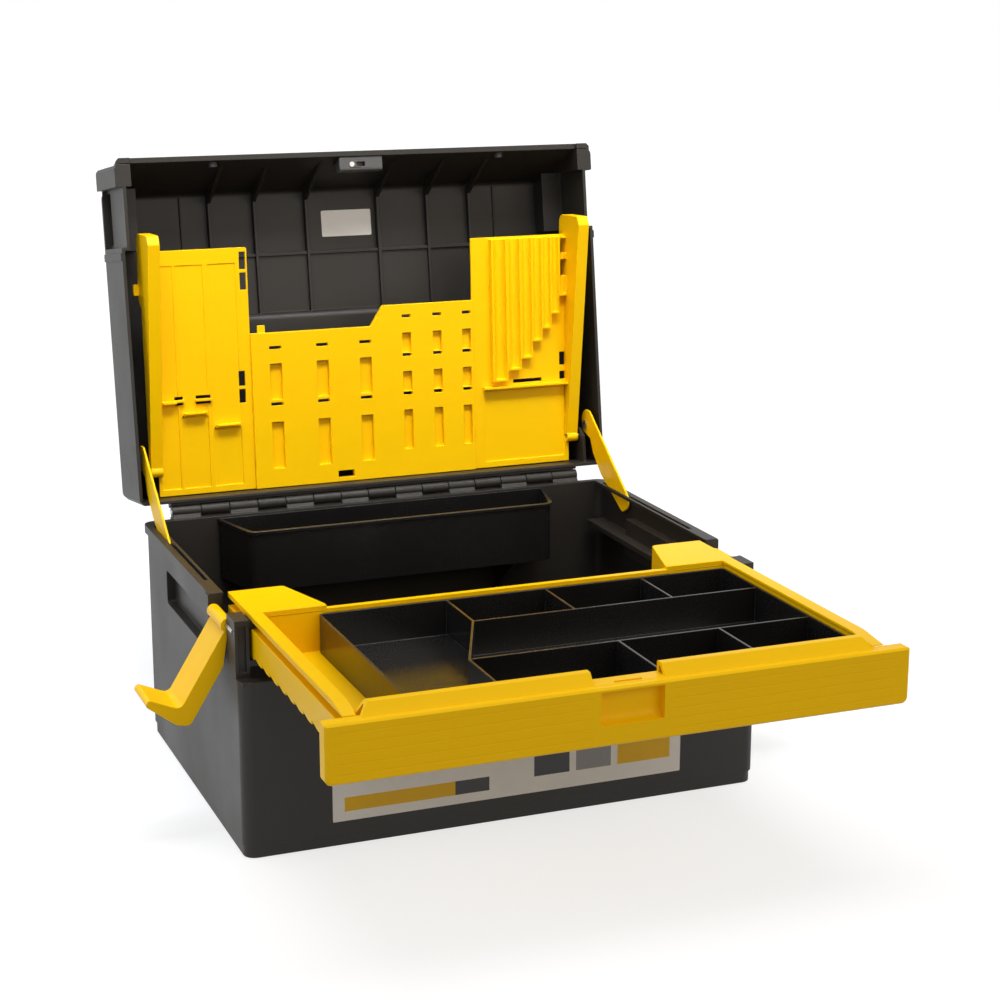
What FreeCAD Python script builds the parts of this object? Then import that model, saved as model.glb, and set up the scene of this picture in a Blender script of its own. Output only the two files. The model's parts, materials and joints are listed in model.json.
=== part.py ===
import FreeCAD, Part
import math
import os

V = FreeCAD.Vector

# Tub body
tub_half_w = 228.0
tub_back_y = 160.0
tub_depth = 323.0
tub_h = 197.7
tub_wall = 3.0
tub_floor_z = 4.0
tub_floor_t = 3.5
tub_corner_r = 10.0
plinth_h = 10.0
plinth_in = 1.2
foot_w = 6.0
base_rib_t = 2.5
tub_front_y = tub_back_y - tub_depth

# Rim of the tub
rim_over = 2.0
rim_back_over = 3.0
rim_lip_h = 8.0
rim_shelf_t = 3.0
rim_shelf_w = 10.0
rim_half_w = tub_half_w + rim_over
rim_back_y = tub_back_y + rim_back_over
rim_shelf_in = tub_half_w - rim_shelf_w

# Front opening and corner posts
opening_h = 50.2
sill_w = 11.0
post_w = 14.0
post_d = 24.0
post_setback = 13.0
post_top_drop = 3.0
post_groove_w = 6.0
post_groove_deep = 3.0
post_groove_end = 5.0
sill_z = tub_h - opening_h
post_in = rim_half_w - post_w
post_front_y = tub_front_y + post_setback
post_back_y = post_front_y + post_d
post_top_z = tub_h - post_top_drop

# Hand grips on the side walls
grip_mid_y = 10.0
grip_l = 142.0
grip_h = 30.0
grip_drop = 23.7
grip_deep = 8.0
grip_r = 4.0
grip_wall = 2.8
grip_y0 = grip_mid_y - 0.5 * grip_l
grip_y1 = grip_mid_y + 0.5 * grip_l
grip_z1 = tub_h - grip_drop
grip_z0 = grip_z1 - grip_h

# Drawer rails and guide tongues inside the tub
rail_drop = 36.3
rail_w = 9.0
rail_t = 5.4
rail_end_gap = 10.0
rail_gussets = 5
gusset_t = 3.0
gusset_h = 18.0
gusset_in = 4.0
gusset_margin = 15.0
tongue_w = 6.6
tongue_t = 5.0
tongue_drop = 6.2
tongue_setback = 4.0
rail_in = post_in - rail_w
rail_top = tub_h - rail_drop
rail_y1 = tub_back_y - rail_end_gap
tongue_in = post_in - tongue_w
tongue_z1 = tub_h - tongue_drop
tongue_z0 = tongue_z1 - tongue_t
tongue_y0 = post_front_y + tongue_setback

# Lid hinge
hinge_back = 5.0
hinge_rise = 5.3
hinge_end = 26.0
hinge_count = 15
hinge_gap = 0.6
knuckle_r = 5.2
web_bite = 0.05
hinge_pin_r = 2.0
hinge_strip_gap = 0.5
hinge_strip_low = 2.0
hinge_strip_hook = 3.0
hinge_ledge_d = 5.0
hinge_web_in = 2.0
hinge_web_out = 0.3
hinge_web_drop = 1.7
hinge_web_deg = 37.0
run_gap = 0.06
fix_gap = 0.02
lid_open_deg = 98.4
hinge_y = rim_back_y + hinge_back
hinge_z = tub_h + hinge_rise
hinge_half_l = tub_half_w - hinge_end
hinge_pitch = 2.0 * hinge_half_l / hinge_count

# Lid shell, laid out in its closed place
lid_over = 1.0
lid_wall = 3.0
lid_gap = 0.8
lid_front_gap = 4.1
lid_h = 80.5
lid_setback = 10.0
lid_lean = 29.0
lid_front_t = 5.0
lid_round = 9.0
lid_side_bevel = 4.0
lid_half_w = rim_half_w + lid_over
lid_back_y = tub_back_y
lid_front_y = tub_front_y + lid_setback
lid_top_front_y = lid_front_y + lid_lean
lid_side_z = tub_h + lid_gap
lid_front_z = lid_side_z + lid_front_gap
lid_top_z = lid_side_z + lid_h
lid_slope = lid_lean / (lid_top_z - lid_front_z)
lid_inner_front_y = lid_front_y + lid_front_t

# Corner blocks and raised borders of the lid
block_over = 1.5
block_w = 14.5
block_d = 20.0
block_setback = 5.5
block_rise = 6.0
block_r = 5.0
border_w = 36.0
border_side = 5.0
border_margin = 12.0
border_rise = 7.0
border_cut = 6.0
block_half_w = lid_half_w + block_over
block_in = block_half_w - block_w
block_front_y = lid_front_y + block_setback
block_back_y = block_front_y + block_d
border_x1 = lid_half_w - border_side
border_x0 = border_x1 - border_w
border_y0 = lid_top_front_y + border_margin
border_y1 = lid_back_y - border_margin

# Ribs, pad and side brackets inside the lid
lid_rib_xs = (36.0, 87.0, 131.0)
lid_rib_t = 3.0
lid_rib_h = 6.5
lid_rib_back = 10.0
lid_rib_front = 12.0
lid_rib_foot = 9.0
lid_thin_rib_x = 158.0
lid_thin_rib_t = 1.2
lid_thin_rib_h = 2.0
lid_pad_setback = 90.0
lid_pad_t = 2.5
lid_cross_h = 5.0
bracket_t = 3.0
bracket_gap = 1.6
bracket_foot = 14.0
bracket_d = 36.0
bracket_neck = 28.0
bracket_shoulder = 24.0

# Side latches
latch_inset = 3.0
latch_drop = 13.7
latch_gap = 1.5
latch_w = 44.0
latch_side_gap = 1.0
latch_notch_h = 16.0
latch_rest_deg = 31.5
latch_knuckle_r = 5.5
latch_pin_r = 2.0
latch_pin_end = 7.0
latch_len = 76.0
latch_plate_t = 3.2
latch_deep = 14.0
latch_foot = 27.0
latch_toe = 13.0
latch_neck = 31.0
latch_side_t = 2.6
latch_bend_r = 6.0
latch_foot_lean = 4.0
latch_foot_r = 3.0
latch_heel_r = 5.0
latch_throat = 8.0
latch_core_start = 12.0
latch_core_end = 6.0
latch_rib_end = 4.0
latch_ribs = 3
latch_rib_t = 2.0
latch_block_d = 9.5
latch_block_in = 6.0
latch_x = rim_half_w - latch_inset
latch_z = tub_h - latch_drop
latch_y0 = post_back_y + latch_gap
latch_y1 = latch_y0 + latch_w
latch_notch_z = latch_z - latch_notch_h
latch_block_y0 = latch_y1 + latch_side_gap
latch_block_y1 = latch_block_y0 + latch_block_d

# Latch recess and finger fin on the lid's sides
recess_gap_front = 2.5
recess_gap_back = 7.0
recess_deep = 5.0
recess_h = 58.5
recess_wall = 3.0
hook_pocket_deep = 25.0
hook_pocket_h = 14.0
fin_gap = 4.5
fin_w = 7.0
fin_out = 2.2
fin_drop = 10.0
recess_y0 = latch_y0 - recess_gap_front
recess_y1 = latch_y1 + recess_gap_back
recess_x = lid_half_w - recess_deep
recess_top_z = lid_side_z + recess_h
hook_pocket_in = lid_half_w - hook_pocket_deep
fin_y0 = recess_y1 + fin_gap
fin_y1 = fin_y0 + fin_w

# Carry handle and its well in the lid
well_mid_y = 8.0
well_w = 24.0
well_deep = 14.0
well_t = 2.6
well_cut = 5.0
well_round = 7.0
well_clear = 4.0
handle_half_l = 96.0
handle_reach = 38.0
handle_rise = 6.0
handle_lift = 0.8
handle_grip_w = 12.0
handle_grip_t = 9.0
handle_grip_r = 4.0
handle_arm_t = 7.0
handle_eye = 5.0
handle_eye_r = 4.9
handle_arm_lap = 2.0
handle_pin_r = 2.0
lug_gap = 0.8
lug_t = 7.0
lug_r = 6.0
lug_cut = 3.5
well_half_l = handle_half_l + well_clear
well_y0 = well_mid_y - 0.5 * well_w
well_y1 = well_mid_y + 0.5 * well_w
well_z = lid_top_z - well_deep
handle_grip_y = well_mid_y + 1.0
handle_axis_y = handle_grip_y + handle_reach
handle_axis_z = lid_top_z + handle_rise
lug_x = handle_half_l + lug_gap

# Organiser panel, laid out upright and then leaned into place
panel_back = 25.7
panel_rise = 8.2
panel_lean_deg = 3.1
panel_t = 2.4
panel_lap = 3.0
panel_short = 70.5
panel_drop = 16.5
panel_right_drop = 2.0
panel_left_w = 91.5
panel_right_w = 100.0
panel_mid_top = 146.0
panel_step_w0 = 103.0
panel_step_w1 = 91.0
panel_step_top = 165.0
panel_margin = 2.0
panel_mid_out = 3.0
wing_gap = 17.0
wing_w = 11.0
wing_wall = 2.2
wing_front = 37.0
wing_back = 13.0
wing_back_low = 182.0
wing_foot = 4.0
wing_ear = 8.0
wing_core_foot = 20.0
wing_core_head = 10.0
wing_core_in = 2.0
wing_toe = 3.0
wing_toe_rise = 2.0
wing_ear_in = 4.0
wing_nose_r = 3.0
wing_back_in = 3.0
wing_back_r = 8.0
panel_bite = 0.5
panel_step_r = 3.0
panel_corner_r = 2.0
panel_pivot_y = -1.0
panel_pivot_s = 24.0
panel_boss_r = 4.8
panel_pin_r = 2.5
panel_base_y = hinge_y + panel_back
panel_base_z = hinge_z + panel_rise
wing_out = lid_half_w - wing_gap
wing_in = wing_out - wing_w
wing_top = lid_back_y - lid_front_y - panel_short
panel_half_w = wing_in + panel_lap
panel_left_top = wing_top - panel_drop
panel_right_top = panel_left_top - panel_right_drop
panel_left_edge = panel_left_w - panel_half_w
panel_right_edge = panel_half_w - panel_right_w

# Tool channels of the panel: left side, right side and ledge height, from the left edge
tool_channels = ((4.0, 21.0, 88.0), (24.0, 49.0, 77.0), (54.0, 80.0, 64.0))
channel_deep = 1.2
channel_top_deep = 0.72
channel_foot = 6.0
channel_head = 14.0
ledge_out = 6.0
ledge_t = 4.5
ledge_in = 2.0
ledge_lip = 1.5
clip_holes = ((18.0, 26.0), (38.0, 52.0))
clip_s0 = 84.0
clip_s1 = 92.0
clip_bar = 2.0
clip_out = 3.2

# Small windows of the panel: distance in from the edge, foot and head
window_w = 6.0
left_windows = ((4.5, 206.0, 222.0), (4.5, 187.0, 203.0), (9.0, 98.0, 112.0), (9.0, 82.0, 95.0))
right_windows = ((6.0, 206.0, 220.0), (6.0, 184.0, 200.0), (6.0, 96.0, 109.0), (6.0, 82.0, 90.0))

# Tool loops of the panel: field foot, field head and slit height of each row
wide_loop_xs = (23.0, 68.5, 111.0)
wide_loop_w = 11.6
wide_loop_rows = ((83.0, 117.0, 132.0), (18.0, 62.0, 79.0))
slim_loop_xs = (68.0, 37.0, 7.0)
slim_loop_w = 8.8
slim_loop_rows = ((119.0, 138.0, 154.0), (82.0, 101.0, 117.0), (26.0, 64.0, 80.0))
strap_t = 2.0
slit_half = 1.4
hang_hole_x = -26.0
hang_hole_w = 16.0
hang_hole_s0 = 4.0
hang_hole_s1 = 10.5
tab_in = 11.0
tab_w = 7.0
tab_h = 7.0
nub_s0 = 186.0
nub_s1 = 196.0
nub_out = 5.0

# Bit holder of the panel: distance from the right edge, width and foot height
bits = (
    (73.0, 12.0, 87.0),
    (58.0, 10.5, 97.0),
    (45.0, 9.0, 108.0),
    (34.0, 8.0, 124.0),
    (24.0, 7.0, 136.0),
    (15.0, 6.5, 150.0),
    (7.0, 5.5, 167.0),
)
bit_left = 81.5
bit_out = 7.0
bit_floor = 2.5
bit_shelf_s = 79.5
bit_shelf_left = 90.0
bit_shelf_lip = 2.0
bit_slot_left = 58.0
bit_slot_right = 28.0
bit_slot_gap = 2.0
bit_slot_h = 3.5

# Lid stays, drawn along their own length from the pivot
stay_inset = 6.8
stay_t = 2.0
stay_pivot_in = 47.0
stay_pivot_rise = 14.0
stay_rest_deg = 214.95
stay_len = 112.0
stay_nose = 5.8
stay_top = 16.9
stay_belly = 12.6
stay_tip = 5.6
stay_waist = 2.7
stay_head = 10.2
stay_heel = 2.0
stay_heel_r = 9.0
stay_fall = 1.4
stay_tip_r = 5.0
stay_tip_rise = 1.7
stay_belly_at = 56.0
stay_throat_at = 30.24
stay_throat_rise = 3.0
stay_waist_at = 16.8
stay_waist_r = 7.0
stay_pin_r = 2.5
stay_pin_in = 1.2
stay_head_r = 4.5
stay_head_t = 1.2
stay_head_gap = 0.3
stay_pad_half = 7.0
stay_pad_gap = 0.7
slot_gap = 0.6
slot_l = 186.0
slot_end = 14.0
stay_x0 = tub_half_w - stay_inset
stay_pivot_y = hinge_y - stay_pivot_in
stay_pivot_z = hinge_z + stay_pivot_rise
slot_y1 = tub_back_y - slot_end
slot_y0 = slot_y1 - slot_l

# Drawer, laid out pulled open
drawer_travel = 228.0
drawer_seat = 2.0
drawer_gap = 2.4
drawer_wall = 2.4
drawer_floor_t = 2.5
drawer_deep = 40.0
drawer_drop = 0.7
drawer_rear_gap = 5.0
drawer_arm_l = 63.0
drawer_rib_x = 120.0
drawer_rib_t = 3.0
drawer_rib_h = 2.0
drawer_bar_t = 2.5
drawer_bar_w = 6.5
drawer_bar_drop = 3.0
drawer_rail_over = 1.0
drawer_nose_l = 28.0
drawer_nose_t = 0.8
arm_w_front = 56.0
arm_w_rear = 39.0
arm_wall = 3.4
arm_lap = 2.0
arm_straight = 3.0
arm_r = 4.0
wall_below_lip = 4.0
bar_lap = 4.0
groove_deep = 7.6
groove_gap = 1.0
groove_floor = 1.6
skirt_gap = 0.6
skirt_t = 2.0
skirt_teeth = 12
skirt_pitch = 22.0
skirt_start = 16.0
skirt_tooth_l = 14.0
skirt_tooth_h = 3.0
drawer_half_w = post_in - drawer_gap
drawer_body_half = drawer_half_w - groove_deep
drawer_rail_in = drawer_body_half - drawer_wall - drawer_rail_over
drawer_top_z = tub_h - drawer_drop
drawer_floor_z = drawer_top_z - drawer_deep
drawer_skirt_z = rail_top + skirt_gap
groove_z0 = tongue_z0 - groove_gap
groove_z1 = tongue_z1 + groove_gap
drawer_front_wall_y = post_front_y - drawer_seat - drawer_travel
drawer_arm_y = tub_back_y - tub_wall - drawer_rear_gap - drawer_travel
drawer_rear_y = drawer_arm_y - drawer_arm_l
arm_in_front = drawer_body_half - arm_w_front
arm_in_rear = drawer_body_half - arm_w_rear

# Drawer front panel
fascia_over = 0.2
fascia_d = 12.0
fascia_gap = 0.7
fascia_drop = 4.5
fascia_t = 3.0
fascia_bevel = 1.6
fascia_r = 5.0
fascia_top_r = 2.0
fascia_lines = 5
line_margin = 7.0
line_end = 9.0
line_w = 1.2
line_deep = 0.2
lip_clear = 1.3
lip_flare = 8.0
lip_w = 8.5
lip_start = 6.0
lip_run = 13.5
lip_gap = 0.4
lip_tuck = 2.0
lip_r = 1.5
lip_end_in = 12.0
lip_end_t = 2.0
lip_notch_half = 28.0
lip_notch_rise = 0.5
slot_half_w = 11.0
slot_w = 3.5
slot_back = 8.0
slot_deep = 2.0
finger_half_w = 25.0
finger_foot = 15.8
finger_head = 3.2
finger_deep = 8.5
finger_r = 7.0
fascia_half_w = rim_half_w + fascia_over
fascia_front_y = drawer_front_wall_y - fascia_d
fascia_z0 = sill_z + fascia_gap
fascia_z1 = drawer_top_z - fascia_drop
lip_top_z = lid_front_z - lip_clear
lip_base_half_w = drawer_rail_in - lip_gap
lip_half_w = lip_base_half_w - lip_flare
lip_back_y = drawer_front_wall_y + lip_w
lip_notch_z = fascia_z1 + lip_notch_rise
finger_z0 = fascia_z0 + finger_foot
finger_z1 = fascia_z1 - finger_head

# Compartment insert in the drawer, columns measured from its right side
side_space = 45.6
insert_gap = 0.6
insert_front_gap = 2.0
insert_rear_gap = 1.1
insert_drop = 6.0
insert_t = 2.0
insert_r = 5.0
row_rear_d = 59.5
row_front_d = 81.0
rear_cols = (252.0, 165.0, 78.0)
front_cols = (289.0, 167.0, 81.0)
wall_drop = 1.0
insert_x1 = drawer_body_half - drawer_wall - insert_gap
insert_x0 = drawer_wall + side_space - drawer_body_half
insert_y0 = lip_back_y + insert_front_gap
insert_y1 = drawer_rear_y - drawer_wall - insert_rear_gap
insert_top_z = drawer_top_z - insert_drop
row_rear_y = insert_y1 - row_rear_d
row_front_y = insert_y0 + row_front_d

# Rear tray and its brackets
tray_gap = 0.5
tray_side = 67.0
tray_taper = 15.0
tray_d = 58.5
tray_h = 56.0
tray_drop = 1.7
tray_t = 2.0
tray_rim_w = 1.5
tray_rim_h = 3.0
tray_r = 9.0
tray_bracket_in = 34.0
tray_bracket_t = 5.0
tray_bracket_h = 42.0
tray_bracket_lip = 6.0
tray_bracket_back = 14.0
tray_rear_y = tub_back_y - tub_wall - tray_gap
tray_front_y = tray_rear_y - tray_d
tray_half_rear = tub_half_w - tray_side
tray_half_front = tray_half_rear - tray_taper
tray_z1 = tub_h - tray_drop
tray_z0 = tray_z1 - tray_h
tray_bracket_x = tray_half_front - tray_bracket_in

# Centre catch and buffers on the lid
catch_half_w = 21.0
catch_rise = 1.4
catch_h = 20.0
catch_d = 19.0
catch_r = 3.0
catch_slot_half = 4.0
catch_slot_w = 4.0
catch_slot_deep = 6.0
rivet_r = 2.4
rivet_in = 12.0
rivet_l = 7.5
rivet_out = 0.9
rivet_end = 0.5
buffer_r = 4.0
buffer_t = 5.0
buffer_rise = 6.4
buffer_x = 140.0
buffer_sunk = 2.0
catch_y1 = lid_front_y + catch_d
catch_z0 = lid_front_z + catch_rise
catch_z1 = catch_z0 + catch_h
buffer_z = lid_front_z + buffer_rise

# How far a cutting shape runs past the surface, and how far pieces of one body sink together
over = 5.0
sink = 1.0


def place(plane, a, b, c):
    """Point from two plane coordinates and the third one."""
    if plane == "yz":
        return V(c, a, b)
    if plane == "xz":
        return V(a, c, b)
    return V(a, b, c)


def outline(points, plane, at):
    """Closed wire through points; a third number rounds that corner."""
    n = len(points)
    starts = []
    ends = []
    mids = []
    for i in range(n):
        p = V(points[i][0], points[i][1], 0)
        r = points[i][2] if len(points[i]) > 2 else 0.0
        if r <= 0.0:
            starts.append(p)
            ends.append(p)
            mids.append(None)
            continue
        q = points[i - 1]
        s = points[(i + 1) % n]
        d1 = (V(q[0], q[1], 0) - p).normalize()
        d2 = (V(s[0], s[1], 0) - p).normalize()
        half = 0.5 * d1.getAngle(d2)
        t = r / math.tan(half)
        bis = (d1 + d2).normalize()
        starts.append(p + d1 * t)
        ends.append(p + d2 * t)
        mids.append(p + bis * (r / math.sin(half) - r))
    edges = []
    for i in range(n):
        a = place(plane, starts[i].x, starts[i].y, at)
        c = place(plane, ends[i].x, ends[i].y, at)
        if mids[i] is not None:
            m = place(plane, mids[i].x, mids[i].y, at)
            edges.append(Part.Arc(a, m, c).toShape())
        d = starts[(i + 1) % n]
        d = place(plane, d.x, d.y, at)
        if (d - c).Length > 1e-6:
            edges.append(Part.makeLine(c, d))
    return Part.Wire(edges)


def prism(points, plane, lo, hi):
    """Outline pulled straight from lo to hi along the third axis."""
    step = place(plane, 0, 0, hi - lo)
    return Part.Face(outline(points, plane, lo)).extrude(step)


def box(x0, x1, y0, y1, z0, z1):
    """Plain block between two corners."""
    return Part.makeBox(x1 - x0, y1 - y0, z1 - z0, V(x0, y0, z0))


def rounded(x0, x1, y0, y1, z0, z1, r):
    """Block with rounded upright corners."""
    return prism([(x0, y0, r), (x1, y0, r), (x1, y1, r), (x0, y1, r)], "xy", z0, z1)


def rod(axis, lo, hi, a, b, r):
    """Cylinder along an axis from lo to hi at the other two coordinates."""
    if axis == "x":
        return Part.makeCylinder(r, hi - lo, V(lo, a, b), V(1, 0, 0))
    if axis == "y":
        return Part.makeCylinder(r, hi - lo, V(a, lo, b), V(0, 1, 0))
    return Part.makeCylinder(r, hi - lo, V(a, b, lo), V(0, 0, 1))


def flat_bore(axis, lo, hi, a, b, r):
    """Six-sided moulded bore that holds a round pin on its flats."""
    plane = {"x": "yz", "y": "xz", "z": "xy"}[axis]
    tip = r / math.cos(math.pi / 6)
    turns = [math.pi * i / 3 for i in range(6)]
    return prism([(a + tip * math.cos(t), b + tip * math.sin(t)) for t in turns], plane, lo, hi)


def join(shapes):
    """All shapes as one body."""
    return shapes[0].multiFuse(shapes[1:]).removeSplitter()


def cut_all(body, shapes):
    """Body with every shape taken out of it."""
    return body.cut(Part.makeCompound(shapes))


def flip(shape):
    """The same shape on the other side of the middle plane."""
    return shape.mirror(V(0, 0, 0), V(1, 0, 0))


def both(shape):
    """A shape and its mirrored twin."""
    return [shape, flip(shape)]


def turned(y, z, deg):
    """Point turned about the hinge axis by an angle."""
    a = math.radians(deg)
    dy = y - hinge_y
    dz = z - hinge_z
    return hinge_y + dy * math.cos(a) - dz * math.sin(a), hinge_z + dy * math.sin(a) + dz * math.cos(a)


def open_lid(shape):
    """Turns a piece from the closed lid to the opened one."""
    out = shape.copy()
    out.rotate(V(0, hinge_y, hinge_z), V(1, 0, 0), -lid_open_deg)
    return out


def save(name, shape):
    """Writes one piece to its own file."""
    if shape.ShapeType == "Compound" and len(shape.Solids) == 1:
        shape = shape.Solids[0]
    shape.exportStep("parts/" + name + ".step")


def knuckles(first, web):
    """Every second hinge knuckle with its web."""
    out = []
    for i in range(first, hinge_count, 2):
        x0 = -hinge_half_l + i * hinge_pitch + 0.5 * hinge_gap
        x1 = x0 + hinge_pitch - hinge_gap
        out.append(rod("x", x0, x1, hinge_y, hinge_z, knuckle_r))
        out.append(prism(web, "yz", x0, x1))
    return out


def make_tub():
    """Tub with rim, sill, posts, grips, rails and hinge knuckles."""
    w = tub_half_w
    inner = w - tub_wall
    in_r = tub_corner_r - tub_wall
    y0 = tub_front_y + tub_wall
    y1 = tub_back_y - tub_wall
    floor_top = tub_floor_z + tub_floor_t

    # Outer walls, plinth and rim, hollowed from above and below
    p = w - plinth_in
    f = p - foot_w
    front = tub_front_y + plinth_in
    back = tub_back_y - plinth_in
    rim_low = tub_h - rim_lip_h
    shell = rounded(-w, w, tub_front_y, tub_back_y, plinth_h, tub_h, tub_corner_r)
    plinth = rounded(-p, p, front, back, 0, plinth_h + sink, tub_corner_r)
    rim = rounded(-rim_half_w, rim_half_w, tub_front_y, rim_back_y, rim_low, tub_h, tub_corner_r)
    hollow = rounded(-inner, inner, y0, y1, floor_top, tub_h - rim_shelf_t, in_r)
    mouth = box(-rim_shelf_in, rim_shelf_in, y0, y1, tub_h - rim_shelf_t - sink, tub_h + over)
    under = box(-f, f, front + foot_w, back - foot_w, -over, tub_floor_z)
    far = rim_half_w + over
    opening = box(-far, far, tub_front_y - over, post_front_y, sill_z, tub_h + over)
    body = cut_all(join([shell, plinth, rim]), [hollow, mouth, under, opening])

    # Ribs across the recessed underside
    add = []
    half = 0.5 * base_rib_t
    mid_y = 0.5 * (tub_front_y + tub_back_y)
    for x in (-0.5 * f, 0.0, 0.5 * f):
        add.append(box(x - half, x + half, y0, y1, 0, tub_floor_z + sink))
    add.append(box(-f - sink, f + sink, mid_y - half, mid_y + half, 0, tub_floor_z + sink))

    # Sill, corner posts, guide tongues and drawer rails on gussets
    sill_low = sill_z - rim_shelf_t
    sill_half = inner + sink
    add.append(box(-sill_half, sill_half, tub_front_y + sink, tub_front_y + sill_w, sill_low, sill_z))
    rail_low = rail_top - rail_t
    side = [
        box(post_in, w, post_front_y, post_back_y, sill_low, post_top_z),
        box(post_in, inner + sink, tub_front_y + tub_wall, post_front_y + sink, sill_low, sill_z),
        box(tongue_in, post_in + sink, tongue_y0, post_back_y, tongue_z0, tongue_z1),
        box(rail_in, inner + sink, post_front_y, rail_y1, rail_low, rail_top),
    ]
    gusset = [
        (inner + sink, rail_low - gusset_h),
        (rail_in + gusset_in, rail_low + sink),
        (inner + sink, rail_low + sink),
    ]
    step = (rail_y1 - post_front_y - 2.0 * gusset_margin) / (rail_gussets - 1)
    for i in range(rail_gussets):
        y = post_front_y + gusset_margin + i * step
        side.append(prism(gusset, "xz", y - 0.5 * gusset_t, y + 0.5 * gusset_t))

    # Grip cups and latch bearings behind the side walls
    g = w - grip_deep
    k = grip_wall
    side.append(box(g - k, w - sink, grip_y0 - k, grip_y1 + k, grip_z0 - k, grip_z1 + k))
    low = latch_z - latch_block_in
    bearing = [
        (inner - latch_block_in, tub_h - sink),
        (inner - latch_block_in, latch_z + latch_pin_r),
        (inner, low),
        (rim_half_w + sink, low),
        (rim_half_w + sink, tub_h - sink),
    ]
    side.append(prism(bearing, "xz", latch_block_y0, latch_block_y1))
    for s in side:
        add += both(s)
    body = join([body] + add)

    # Latch notches, grip pockets, stay slots and pin bores
    n0 = latch_y0 - latch_side_gap
    pocket = [
        (grip_y0, grip_z0, grip_r),
        (grip_y1, grip_z0, grip_r),
        (grip_y1, grip_z1, grip_r),
        (grip_y0, grip_z1, grip_r),
    ]
    stay_out = stay_x0 + stay_t + slot_gap
    pin_r = latch_pin_r + fix_gap
    groove_x = 0.5 * (post_in + w - post_groove_w)
    groove_z = (sill_z + post_groove_end, post_top_z - post_groove_end)
    groove_y = post_front_y + post_groove_deep
    cuts = []
    cuts += both(box(post_in - sink, far, post_front_y - sink, n0, post_top_z, tub_h + over))
    cuts += both(box(w, far, post_front_y - sink, n0, rim_low - sink, tub_h + over))
    cuts += both(box(groove_x, groove_x + post_groove_w, post_front_y - sink, groove_y, *groove_z))
    cuts += both(box(post_in - sink, far, n0, latch_block_y0, latch_notch_z, tub_h + over))
    cuts += both(prism(pocket, "yz", g, w + over))
    cuts += both(box(stay_x0 - slot_gap, stay_out, slot_y0, slot_y1, rim_low, tub_h + over))
    bore_y0 = post_front_y + latch_pin_end - sink
    cuts += both(flat_bore("y", bore_y0, latch_block_y1 - 2.0 * sink, latch_x, latch_z, pin_r))
    body = cut_all(body, cuts)

    # Rear brackets under the tray and the hinge knuckles
    lip_y = tray_front_y + tray_bracket_back
    bracket = [
        (y1 + sink, tray_z0),
        (lip_y, tray_z0),
        (lip_y, tray_z0 - tray_bracket_lip),
        (y1 + sink, tray_z0 - tray_bracket_h),
    ]
    add = both(prism(bracket, "yz", tray_bracket_x, tray_bracket_x + tray_bracket_t))
    a = math.radians(hinge_web_deg)
    touch = knuckle_r - web_bite
    web = [
        (rim_back_y - hinge_web_in, rim_low),
        (rim_back_y - hinge_web_in, tub_h),
        (rim_back_y + hinge_web_out, hinge_z - hinge_web_drop),
        (hinge_y, hinge_z),
        (hinge_y + touch * math.cos(a), hinge_z - touch * math.sin(a)),
        (hinge_y, rim_low),
    ]
    l = hinge_half_l
    ledge_z = hinge_z - knuckle_r - hinge_strip_gap
    add.append(box(-l, l, rim_back_y - hinge_web_in, hinge_y + hinge_ledge_d, rim_low, ledge_z))
    body = join([body] + add + knuckles(0, web))
    return body.cut(flat_bore("x", -l - sink, l + sink, hinge_y, hinge_z, hinge_pin_r + fix_gap))


def lid_profile(t, low):
    """Side outline of the lid, drawn in by a wall thickness."""
    front = lid_front_t if t > 0.0 else 0.0
    r = lid_round - t
    return [
        (lid_back_y - t, low),
        (lid_back_y - t, lid_top_z - t, r),
        (lid_top_front_y + t, lid_top_z - t, r),
        (lid_front_y + front, lid_front_z),
        (lid_front_y + front, low),
    ]


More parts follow.
